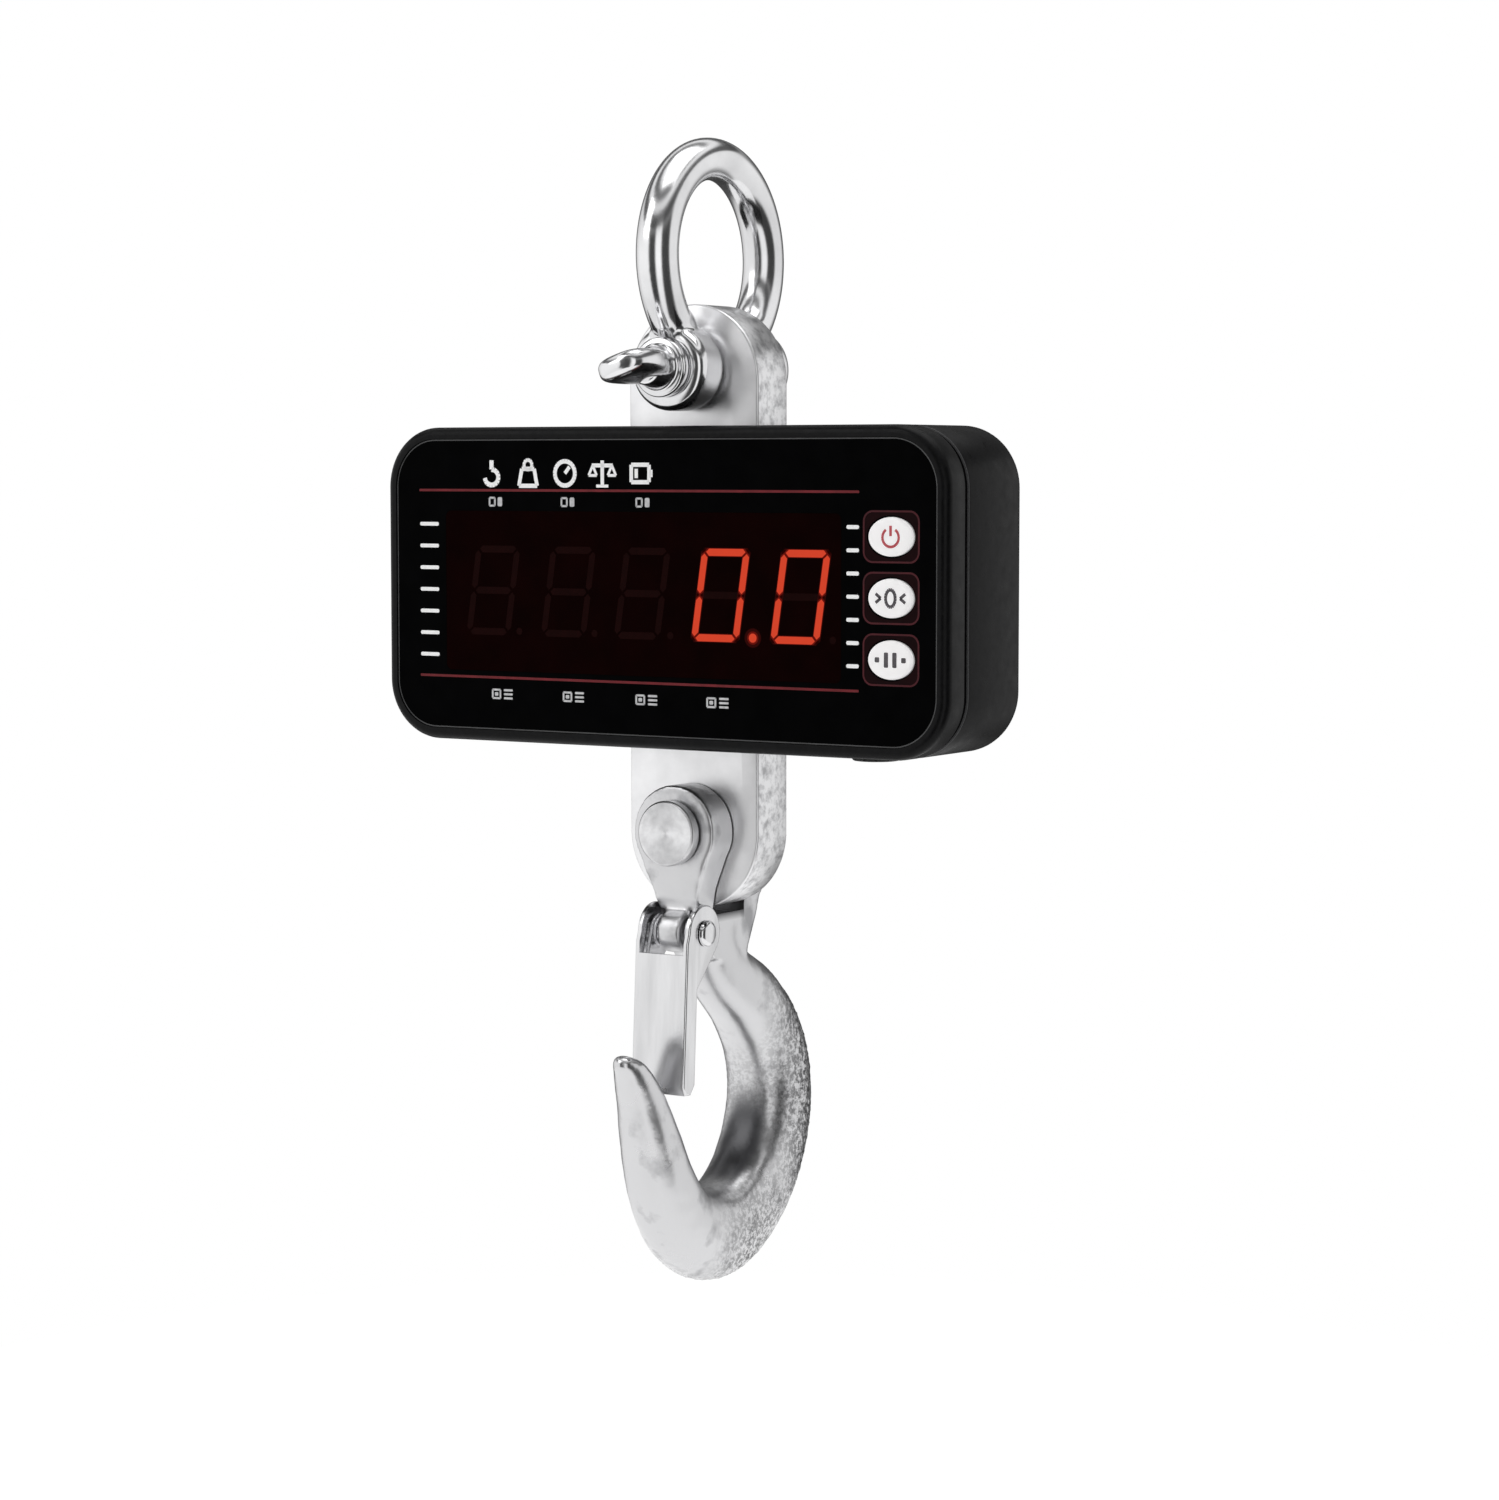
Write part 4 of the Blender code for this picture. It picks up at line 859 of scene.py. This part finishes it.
def place_print(verts, faces, name, look, body="scale_body", slot="front_overlay"):
    place(solid_from(verts, faces), name, body, look, slot, 30, stands_in=False)


def ink(outlines, name, look, y=None, rise=INK, **where):
    """Thin printed shapes on the panel: each outline is a closed list of (x, z) points."""
    front = (PANEL_Y if y is None else y) - rise
    verts, faces = [], []
    for outline in outlines:
        start, count = len(verts), len(outline)
        for level in (front, front + rise + 0.1):
            verts += [(x, level, z) for x, z in outline]
        faces.append(tuple(start + i for i in range(count)))
        faces.append(tuple(start + count + i for i in reversed(range(count))))
        for i in range(count):
            j = (i + 1) % count
            faces.append((start + i, start + count + i, start + count + j, start + j))
    place_print(verts, faces, name, look, **where)


def bar(x, z, width, height, radius=0.3):
    radius = min(radius, width / 2, height / 2) * 0.98
    return rounded_rect(width, height, radius, 4, (x, z + HOUSING_Z))


def stroke(points, width, closed=False):
    """Outlines of a drawn line: one thin quad for each span."""
    out = []
    for (ax, az), (bx, bz) in zip(points, points[1:] + (points[:1] if closed else [])):
        along = Vector((bx - ax, bz - az))
        if along.length < 1e-6:
            continue
        along.normalize()
        side = Vector((-along.y, along.x)) * width / 2
        out.append([
            (ax + side.x, az + side.y), (ax - side.x, az - side.y),
            (bx - side.x, bz - side.y), (bx + side.x, bz + side.y),
        ])
    return out


def band(pairs, name, look, rise=INK):
    """Thin closed bands between pairs of outlines, each one solid."""
    front = PANEL_Y - rise
    verts, faces = [], []
    for outer, inner in pairs:
        start, count = len(verts), len(outer)
        for level in (front, front + rise + 0.1):
            verts += [(x, level, z) for x, z in outer]
            verts += [(x, level, z) for x, z in inner]
        for i in range(count):
            j = (i + 1) % count
            a, b, c, d = start, start + count, start + 2 * count, start + 3 * count
            faces += [
                (a + i, a + j, b + j, b + i), (c + j, c + i, d + i, d + j),
                (a + j, a + i, c + i, c + j), (b + i, b + j, d + j, d + i),
            ]
    place_print(verts, faces, name, look)


def panel_lines():
    rules = [bar(-8.6, z, 158.8, 0.75, 0.2) for z in (29.1, -28.6)]
    ink(rules, "rule_lines", "red_line")
    left = [bar(-84.2, 18.6 - i * 40.6 / 6, 7.2, 1.15, 0.5) for i in range(7)]
    right = [bar(68.7, 18.9 - i * 40.3 / 6, 4.2, 1.15, 0.5) for i in range(7)]
    ink(left + right, "side_ticks", "white_ink")
    frames, fields = [], []
    for at in KEYS.values():
        frames.append((rounded_rect(18.8, 15.2, 3.2, 8, at), rounded_rect(17.7, 14.1, 2.65, 8, at)))
        fields.append((rounded_rect(17.7, 14.1, 2.65, 16, at), oval(KEY_FIELD, 68, at)))
    band(frames, "key_frames", "dark_red")
    band(fields, "key_fields", "red_shade", rise=0.02)


def square(x0, z0, x1, z1):
    return [(x0, z0), (x1, z0), (x1, z1), (x0, z1)]


def drawn(x, z, points, width, closed=False):
    """A stroke through points given from (x, z), with z from the housing's middle."""
    z += HOUSING_Z
    return stroke([(x + px, z + pz) for px, pz in points], width, closed)


TITLE_Z = 34.3                  # all from the housing's centre
UNIT_Z = 25.6
LOW_LABEL_Z = -33.7
ICON_X = -60.2
ICON_PITCH = 13.75


def pictograms():
    """Five plain icons in place of the title: hook, weight, dial, balance and battery."""
    curl = [(2.6 * math.cos(math.radians(a)), -1.2 + 2.4 * math.sin(math.radians(a)))
            for a in range(90, -181, -22)]
    pans = [[(side * 3.8 * 0.92, 2.4), ((side * 3.8 - 1.6) * 0.92, -0.6),
             ((side * 3.8 + 1.6) * 0.92, -0.6)] for side in (-1, 1)]
    drawings = (    # (which icon, points, width, closed)
        (0, [(0, 4), (0, 1.2)] + curl, 1.5, False),
        (1, [(-3.4, -3.8), (3.4, -3.8), (2.3, 1.4), (-2.3, 1.4)], 1.3, True),
        (1, circle(1.5, 12, (0, 2.6)), 1.1, True),
        (2, circle(3.7, 24), 1.35, True),
        (2, [(0, 0), (1.7, 2.0)], 1.2, False),
        (3, [(-3.8, 2.4), (3.8, 2.4)], 1.2, False),
        (3, [(0, 3.9), (0, -3.8)], 1.25, False),
        (3, [(-2.2, -3.8), (2.2, -3.8)], 0.9, False),
        (3, pans[0], 0.85, True),
        (3, pans[1], 0.85, True),
        (4, square(-3.2, -2.6, 3.2, 2.6), 1.25, True),
        (4, [(3.9, -1.1), (3.9, 1.1)], 1.1, False),
        (4, [(-1.4, -1.4), (-1.4, 1.4)], 1.2, False),
    )
    strokes = []
    for icon, points, width, closed in drawings:
        strokes += drawn(ICON_X + icon * ICON_PITCH, TITLE_Z, points, width, closed)
    ink(strokes, "title_icons", "white_ink")
    marks = []
    for x in (-58.6, -31.6, -4.2):
        marks += drawn(x, UNIT_Z, square(-2.4, -1.2, -0.4, 1.2), 0.6, True)
        marks.append(bar(x + 1.5, UNIT_Z, 1.7, 2.8, 0.5))
    for x in (-56.4, -29.7, -3.0, 22.4):
        marks += drawn(x, LOW_LABEL_Z, square(-3.8, -1.3, -0.9, 1.3), 0.6, True)
        marks.append(bar(x - 2.35, LOW_LABEL_Z, 1.3, 1.1, 0.3))
        for lift in (-1.25, 0.0, 1.25):
            marks.append(bar(x + 2.1, LOW_LABEL_Z + lift, 3.3, 0.65, 0.2))
    ink(marks, "legend_marks", "grey_ink")


def segment_outlines(x0, z_mid, width=16.7, height=27.6, thick=2.15, gap=0.5, slant=4.1):
    """The seven segments of a digit whose lower left corner is at x0, as slanted outlines."""
    half, t = height / 2, thick

    def lean(points):
        return [(x0 + x + slant * (z / height + 0.5), z_mid + z) for x, z in points]

    def flat(z, low, high):
        return lean([
            (t * 0.55 + gap, z), (t + gap, high), (width - t - gap, high),
            (width - t * 0.55 - gap, z), (width - t - gap, low), (t + gap, low),
        ])

    top = lean([
        (t * 0.45 + gap, half - t * 0.45), (t * 0.9 + gap, half), (width - t * 0.9 - gap, half),
        (width - t * 0.45 - gap, half - t * 0.45), (width - t - gap, half - t), (t + gap, half - t),
    ])
    bottom = lean([
        (t * 0.45 + gap, -half + t * 0.45), (t + gap, -half + t), (width - t - gap, -half + t),
        (width - t * 0.45 - gap, -half + t * 0.45), (width - t * 0.9 - gap, -half),
        (t * 0.9 + gap, -half),
    ])
    sides = []
    for flip_x in (False, True):
        for flip_z in (False, True):
            pts = [
                (0, half - t * 0.9 - gap), (t * 0.45, half - t * 0.45 - gap), (t, half - t - gap),
                (t, t * 0.5 + gap), (t * 0.5, gap), (0, t * 0.5 + gap),
            ]
            if flip_z:
                pts = [(x, -z) for x, z in pts]
            if flip_x:
                pts = [(width - x, z) for x, z in pts]
            sides.append(lean(pts))
    return {"top": top, "middle": flat(0, -t / 2, t / 2), "bottom": bottom, "sides": sides}


def grown(outline, amount):
    centre = Vector((sum(p[0] for p in outline), sum(p[1] for p in outline))) / len(outline)
    return [tuple(Vector(p) + (Vector(p) - centre).normalized() * amount) for p in outline]


DIGIT_LEFTS = (-70.2, -42.0, -15.0, 12.9, 40.6)
FIRST_LIT = 3
DIGIT_Z = -1.7                  # from the housing's centre
DOT_Z = -14.1


def display_digits():
    z_mid = DIGIT_Z + HOUSING_Z
    lit, unlit = [], []
    for index, x0 in enumerate(DIGIT_LEFTS):
        parts = segment_outlines(x0, z_mid)
        rim = [parts["top"], parts["bottom"], *parts["sides"]]
        if index >= FIRST_LIT:
            lit += rim
            unlit.append(parts["middle"])
        else:
            unlit += rim + [parts["middle"]]
    for x in (-50.0, -22.0, 5.5, 62.0):
        unlit.append(circle(1.1, 20, (x, DOT_Z + HOUSING_Z)))
    lit.append(circle(1.35, 24, (34.6, DOT_Z + HOUSING_Z)))
    ink(unlit, "segments_unlit", "ghost", rise=0.0, slot="display_window")
    # Painted glow: the haze and halo sheets stand for the lit segments' light spread in the window.
    for name, look, spread, rise in (("haze", "led_haze", 1.5, 0.02),
                                     ("halo", "led_halo", 0.6, 0.04)):
        ink([grown(o, spread) for o in lit], f"segments_{name}", look, rise=rise,
            slot="display_window")
    ink(lit, "segments_lit", "led", rise=0.06, slot="display_window")


def keys():
    for name, at in KEYS.items():
        rings = []
        for i in range(9):
            t = i / 8
            inset = 1.6 * (1 - math.sin(math.pi / 2 * t)) if i else 1.6
            deep = 0.1 + 0.55 * (1 - math.cos(math.pi / 2 * t))
            ring = oval([half - inset for half in KEY_CAP], 72, at)
            rings.append([(px, depth(deep), pz) for px, pz in ring])
        rings.append([(px, depth(1.3), pz) for px, pz in oval(KEY_CAP, 72, at)])
        cap = loft(rings)
        join(cap, prism_y(circle(3.6, 32, at), depth(1.0), depth(6.0)))
        place(cap, f"key_cap_{name}", f"key_{name}", "key", f"key_{name}", 30)
    x, z = KEYS["power"]
    arc = [(x + 2.7 * math.cos(math.radians(a)), z - 0.2 + 2.7 * math.sin(math.radians(a)))
           for a in range(125, 416, 10)]
    power = stroke(arc, 0.8) + stroke([(x, z + 3.2), (x, z + 0.2)], 0.85)
    x, z = KEYS["zero"]
    zero = stroke([(x + 1.6 * px, z + 2.5 * pz) for px, pz in circle(1, 20)], 1.0, True)
    for side in (-1, 1):
        arrow = [(x + side * 4.9, z + 1.3), (x + side * 3.2, z), (x + side * 4.9, z - 1.3)]
        zero += stroke(arrow, 0.9)
    x, z = KEYS["hold"]
    hold = [rounded_rect(1.4, 4.4, 0.3, 3, (x + shift, z)) for shift in (-1.4, 1.4)]
    hold += [rounded_rect(1.5, 1.5, 0.3, 3, (x + shift, z)) for shift in (-4.4, 4.4)]
    for name, icon, look in (("power", power, "key_red"), ("zero", zero, "key_grey"),
                             ("hold", hold, "key_grey")):
        key = f"key_{name}"
        ink(icon, f"icon_{name}", look, depth(0.1), 0.04, body=key, slot=key)


def charging_plug():
    low = HOUSING_Z - SHELL_H / 2
    plug = lathe([
        (0, low - 2.4, 0), (7.2, low - 2.4, 0.9), (7.2, low - 0.3, 0.3), (2.7, low - 0.3, 0),
        (2.6, low + 6, 0.4), (1.9, low + 7, 0.3), (0, low + 7, 0),
    ], 56, 4, "Z")
    for angle in range(0, 360, 30):
        a = math.radians(angle)
        notch = cylinder(0.5, low - 3, low, "Z", 10)
        cut(plug, moved(notch, 7.3 * math.cos(a), 7.3 * math.sin(a)))
    place(moved(plug, *JACK), "rubber_plug", "charging_plug", "rubber", "charging_plug", 35)


def screws():
    """Detailed screws where the outside shows their heads."""
    places = [(f"shell_screw_{i}", at, SHELL_DEPTH - 0.7, 3.2, 1.6, 2.2)
              for i, at in enumerate(SCREW_AT, 1)]
    places += [(f"plate_screw_{i}", (0, z), SHELL_DEPTH - 0.1, 4.6, 2.2, 1.4)
               for i, z in enumerate(PLATE_SCREW_Z, 1)]
    for name, (x, z), head, head_r, shaft_r, head_t in places:
        tip = node_box(name)[0].y - FRONT_Y
        seat = head - head_t
        body = lathe([
            (0, head, 0), (head_r, head, 0.35), (head_r, seat, 0.1), (shaft_r, seat, 0),
            (shaft_r, tip, 0.3), (0, tip, 0),
        ], 40, 3)
        cut(body, prism_y(circle(head_r * 0.5, 6), head - head_t * 0.55, head + 1))
        moved(body, x, FRONT_Y, z + HOUSING_Z)
        place(body, f"{name}_detailed", "scale_body", "black_screw", name, 30)


# ---- hook

EAR_R = 14.8
CROTCH_R = 27.0
FORK_OUT = 41.0
FORK_SLOT = 17.7
RIVET_R = 2.6
SKIN_INSET = 0.4


def hook_stations():
    """The hook's centre line from the pin's centre: (y, z, half width, half depth)."""
    return [
        (0.5, -30.0, 8.2, 12.5), (1.5, -37.5, 8.4, 10.8), (8.0, -46.5, 9.4, 11.0),
        (22.0, -57.0, 11.0, 12.8), (32.5, -70.0, 12.0, 14.0), (36.6, -85.0, 12.4, 14.8),
        (33.8, -101.0, 12.6, 15.2), (24.3, -115.7, 12.4, 15.6), (9.8, -125.0, 12.0, 15.6),
        (-4.7, -126.3, 11.6, 14.6), (-17.9, -120.0, 11.2, 12.6), (-27.4, -107.2, 10.6, 10.6),
        (-33.3, -93.0, 9.6, 8.8), (-38.3, -80.0, 7.8, 7.0), (-43.3, -71.0, 6.0, 5.2),
        (-48.2, -66.5, 3.6, 3.0),
    ]


def hook_bowl():
    path = smooth_through(hook_stations(), 10)
    sides = 56
    rings = []
    for i, (y, z, a, b) in enumerate(path):
        before, after = path[max(i - 1, 0)], path[min(i + 1, len(path) - 1)]
        tangent = Vector((0, after[0] - before[0], after[1] - before[1])).normalized()
        inward = Vector((0, tangent.z, -tangent.y))
        ring = []
        for k in range(sides):
            t = 2 * math.pi * k / sides
            c, s = math.cos(t), math.sin(t)
            power = 2 / 2.35
            across = math.copysign(abs(s) ** power, s) * a * (1 + 0.10 * c)
            along = math.copysign(abs(c) ** power, c) * b
            ring.append(tuple(Vector((across, y, z)) + inward * along))
        rings.append(ring)
    tip = path[-1]
    for shrink, ahead in ((0.85, 0.6), (0.6, 1.2), (0.3, 1.6)):
        rings.append([
            (p[0] * shrink, tip[0] - ahead + (p[1] - tip[0]) * shrink,
             tip[1] + 0.87 * ahead + (p[2] - tip[1]) * shrink)
            for p in rings[len(path) - 1]
        ])
    return loft(rings)


def fork_blank():
    front = []
    for i in range(41):
        a = math.radians(-32 + (180 + 64) * i / 40)
        front.append((EAR_R * math.cos(a), EAR_R * math.sin(a)))
    front += [(-8.8, -17.5), (-7.6, -24.0), (-8.0, -40.0), (8.0, -40.0), (7.6, -24.0), (8.8, -17.5)]
    blank = prism_y(front, -FORK_OUT / 2, FORK_OUT / 2)
    half = FORK_OUT / 2
    side = [
        (-half, 20), (-half, -11), (-19.0, -20), (-15.5, -28), (-11.5, -36), (-7.0, -42),
        (10.0, -42), (13.5, -36), (17.5, -28), (half, -18), (half, 20),
    ]
    return boolean(blank, prism_x(side, -30, 30), "INTERSECT")


def roughen(obj):
    """Moves the skin in a little and lays noise over it, coarsest on the spine and below."""
    skin = [(vertex.co.copy(), vertex.normal.copy()) for vertex in obj.data.vertices]
    for vertex, (co, normal) in zip(obj.data.vertices, skin):
        spine = min(max((co.y - 22) / 18, 0.0), 1.0)
        below = min(max((-118 - co.z) / 20, 0.0), 1.0)
        coarse = noise.noise(co * 0.22)
        fine = noise.noise(co * 0.7) + 0.6 * noise.noise(co * 1.5)
        amount = 0.10 * coarse + (0.02 + 0.24 * max(spine, below)) * fine
        vertex.co = co + normal * (amount - SKIN_INSET)


def hook():
    body = hook_bowl()
    y, z = LATCH_AXIS
    lug = moved(cylinder(6.9, -4.4, 4.4, "X", 48), y=y, z=z)
    web = prism_x([(y, z - 7.0), (y, z + 6.0), (y + 20, z + 6.0), (y + 20, z - 7.0)], -4.4, 4.4)
    join(body, fork_blank(), lug, web)
    fuse(body, 0.8, 13)
    roughen(body)
    half = FORK_SLOT / 2
    cutter = moved(prism_y(stadium(2 * CROTCH_R, 40, 48), -half, half), z=40)
    ends = FORK_OUT / 2
    join(cutter, cylinder(PIN_HOLE_R, -40, 40, sides=64))
    join(cutter, moved(cylinder(RIVET_R + 0.4, -30, 30, "X", 40), y=y, z=z))
    for side in (-1, 1):
        for radius, near, far, sides in ((6.9, 4.5, 30, 56), (9.6, 7.6, 31, 64)):
            low, high = sorted((side * near, side * far))
            join(cutter, moved(cylinder(radius, low, high, "X", sides), y=y, z=z))
        low, high = sorted((side * (ends - 0.4), side * (ends + 19)))
        join(cutter, cylinder(EAR_R - 2.4, low, high, sides=72))
    cut(body, cutter)
    moved(body, y=PLATE_Y, z=LOW_PIN_Z)
    place(body, "hook_casting", "hook", "hook", "clevis_hook", 45)


def clevis_pin():
    front = -FORK_OUT / 2 - 0.3
    back = FORK_OUT / 2 + 9.0
    head = front - 3.8
    pin = lathe([
        (0, head + 0.45, 0), (9.4, head, 0.1), (10.0, head + 0.6, 0.3), (10.0, front, 0.4),
        (7.0, front, 0), (7.0, back, 1.0), (0, back, 0),
    ], 96, 4)
    cross = FORK_OUT / 2 + 5.2
    cut(pin, moved(cylinder(1.9, -20, 20, "X", 28), y=cross))
    moved(pin, y=PLATE_Y, z=LOW_PIN_Z)
    place(pin, "clevis_pin_turned", "clevis_pin", "turned", "clevis_pin", 35)
    offset, reach = 0.78, 7.0
    upper = [(reach + 5.0, cross, 4.4), (reach + 2.6, cross, 2.4), (reach + 1.0, cross, offset)]
    upper += [(0.0, cross, offset), (-reach - 0.6, cross, offset)]
    eye_x, eye_r = -reach - 4.0, 2.7
    loop = []
    for i in range(9):
        a = math.radians(40 + 280 * i / 8)
        loop.append((eye_x + eye_r * math.cos(a), cross, eye_r * math.sin(a)))
    lower = [(px, py, -pz) for px, py, pz in reversed(upper)]
    wire = tube(smooth_through(upper + loop + lower, 6), 0.56, 16)
    moved(wire, y=PLATE_Y, z=LOW_PIN_Z)
    place(wire, "split_pin_wire", "clevis_pin", "screw", "split_pin", 50)


# ---- latch

LATCH_SHEET = 1.6
LATCH_OUT = 9.6
LATCH_FACE = 9.5
LATCH_LENGTH = 49.0


def latch_place(obj):
    obj.data.transform(Matrix.Rotation(-LATCH_TILT, 4, "X"))
    return moved(obj, y=PLATE_Y + LATCH_AXIS[0], z=LOW_PIN_Z + LATCH_AXIS[1])


def safety_latch():
    face = -LATCH_FACE
    points = []
    for i in range(31):
        a = math.radians(-35 + 215 * i / 30)
        points.append((8.6 * math.cos(a), 8.6 * math.sin(a)))
    points += [(face, -3.0), (face, -LATCH_LENGTH + 2.5), (face + 1.2, -LATCH_LENGTH)]
    points += [(face + 4.2, -LATCH_LENGTH), (face + 6.3, -LATCH_LENGTH + 3), (face + 6.3, -17.0)]
    body = bevel(prism_x(points, -LATCH_OUT, LATCH_OUT), 0.7, 4, 70)
    inner = LATCH_OUT - LATCH_SHEET
    hollow = [(face + LATCH_SHEET, -80), (face + LATCH_SHEET, 20), (30, 20), (30, -80)]
    cut(body, prism_x(hollow, -inner, inner))
    window = [(-20, -6.5), (-20, 20), (0, 20), (0, -6.5)]
    cut(body, prism_x(window, -inner, inner))
    cut(body, cylinder(RIVET_R + 0.4, -20, 20, "X", 40))
    latch_place(body)
    place(body, "latch_folded", "latch", "sheet", "safety_latch", 35)
    end = LATCH_OUT + 0.3
    half = [(RIVET_R, end), (4.0, end), (4.0, end + 0.7), (3.6, end + 1.3), (2.6, end + 1.75)]
    profile = [(0, -end - 1.8)] + [(r, -h) for r, h in reversed(half)] + half + [(0, end + 1.8)]
    rivet = latch_place(turned(profile, 48, "X"))
    place(rivet, "rivet_headed", "hook", "polished", "latch_rivet", 35)


def latch_spring():
    wire, coil_r, turns = 0.6, 4.7, 1.25
    first, pitch = 5.35, 1.25
    bar_y = -LATCH_FACE + LATCH_SHEET + 0.3 + wire + 0.1
    bar_z = -15.0
    steps = 40
    half = []
    for i in range(steps + 1):
        a = math.radians(90) + 2 * math.pi * turns * i / steps
        half.append((first + pitch * turns * i / steps, coil_r * math.cos(a), coil_r * math.sin(a)))
    half.reverse()
    tail = [(first, 2.9, coil_r + 0.1)]
    outer = first + pitch * turns
    leg = [(outer, bar_y + 0.6, -6.0), (outer - 0.2, bar_y, -12.0), (outer - 1.6, bar_y, bar_z)]
    right = leg[::-1] + half + tail
    left = [(-x, y, z) for x, y, z in reversed(right)]
    spring = tube(left + [(0.0, bar_y, bar_z)] + right, wire, 14)
    latch_place(spring)
    piece = place(spring, "spring_wire", None, "screw", "latch_spring", 60)
    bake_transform(piece)


# ---- stage

CAMERA_LENS = 85.85
CAMERA_AT = (0.59233, -0.89388, 0.03585)    # from the middle of the housing's front
CAMERA_PITCH = 4.506
CAMERA_YAW = 32
FLOOR_RADIUS = 0.36
FLOOR_Z = -0.42
FLOOR_THICKNESS = 0.01
# (degrees round from the front, brightness), and (sine of the elevation, brightness)
TENT_STRIPES = (
    (-180, 0.12), (-150, 0.05), (-122, 0.1), (-104, 0.8), (-78, 1.05), (-20, 1.05), (-11, 0.06),
    (17, 0.05), (27, 1.15), (50, 1.15), (59, 0.06), (96, 0.06), (107, 0.95), (158, 0.95),
    (170, 0.3), (180, 0.12),
)
TENT_HOOPS = (
    (-1.0, 0.9), (0.12, 1.0), (0.38, 1.0), (0.43, 0.12), (0.58, 0.12), (0.64, 1.0), (0.72, 1.0),
    (0.78, 0.15), (0.86, 0.15), (0.92, 1.1), (1.0, 1.1),
)
KEY_POWER = 3
TOP_POWER = 6


def camera():
    data = bpy.data.cameras.new("photo_camera")
    data.sensor_fit = "HORIZONTAL"
    data.sensor_width = 36.0
    data.lens = CAMERA_LENS
    data.clip_end = 50
    obj = add_object("photo_camera", data)
    x, y, z = CAMERA_AT
    obj.location = (x, y + FRONT_Y * MM, z + HOUSING_Z * MM)
    obj.rotation_euler = (math.radians(90 - CAMERA_PITCH), 0, math.radians(CAMERA_YAW))
    bpy.context.scene.camera = obj


def floor():
    """A small round white table below the hook."""
    top = cylinder(FLOOR_RADIUS, 0.0, FLOOR_THICKNESS, "Z", 96)
    obj = moved(top, z=FLOOR_Z - FLOOR_THICKNESS)
    obj.name = "floor"
    look = surface("pale_floor", (0.08, 0.08, 0.08), (0.12, 0.12, 0.12), 3, (0.6, 0.8),
                   specular=0.02)
    obj.data.materials.append(glow(look, (1, 1, 1), 1.0))


def area_light(name, at, target, size, power):
    data = bpy.data.lights.new(name, "AREA")
    data.shape = "RECTANGLE"
    data.size, data.size_y = size
    data.energy = power
    obj = add_object(name, data)
    obj.location = at
    aim = Vector(target) - Vector(at)
    obj.rotation_euler = aim.to_track_quat("-Z", "Y").to_euler()


def grey_ramp(tree, value, stops):
    """A ramp through (position, brightness) stops."""
    node = add_node(tree, "ValToRGB", {"Fac": value})
    elements = node.color_ramp.elements
    elements.remove(elements[-1])
    for index, (position, grey) in enumerate(stops):
        element = elements.new(position) if index else elements[0]
        element.position = position
        element.color = (grey, grey, grey, 1)
    return node.outputs["Color"]


def studio():
    """White backdrop for the camera, and a striped light tent for reflections."""
    bpy.context.scene.view_settings.view_transform = "Standard"
    world = bpy.data.worlds.new("tent")
    bpy.context.scene.world = world
    world.use_nodes = True
    tree = world.node_tree
    tree.nodes.clear()
    parts = split(tree, coordinates(tree, "Generated"))
    turn = calculate(tree, "ARCTAN2", parts["X"], calculate(tree, "MULTIPLY", parts["Y"], -1))
    stripes = [((angle + 180) / 360, grey) for angle, grey in TENT_STRIPES]
    walls = grey_ramp(tree, remap(tree, turn, -math.pi, math.pi), stripes)
    sides = mix_colours(tree, remap(tree, parts["Z"], 0.3, 0.62), walls, (1, 1, 1, 1))
    levels = [((level + 1) / 2, grey) for level, grey in TENT_HOOPS]
    hoops = grey_ramp(tree, remap(tree, parts["Z"], -1, 1), levels)
    tent = add_node(tree, "Background", {"Color": mix_colours(tree, 1.0, sides, hoops, "MULTIPLY")})
    white = add_node(tree, "Background", {"Color": (1, 1, 1, 1)})
    choose = add_node(tree, "MixShader", {
        "Fac": add_node(tree, "LightPath").outputs["Is Camera Ray"],
        1: tent.outputs["Background"], 2: white.outputs["Background"],
    })
    add_node(tree, "OutputWorld", {"Surface": choose.outputs["Shader"]})
    middle = (0, 0, HOUSING_Z * MM)
    area_light("key_light", (-0.7, -1.0, 0.7), middle, (0.8, 0.8), KEY_POWER)
    area_light("top_light", (0.2, 0.1, 1.2), middle, (1.2, 1.2), TOP_POWER)


for build in (
    camera, studio, floor, shackle_bow, shackle_pin, load_plate, front_shell, rear_shell,
    front_overlay, panel_lines, pictograms, display_digits, keys, charging_plug, screws, hook,
    clevis_pin, safety_latch, latch_spring,
):
    build()
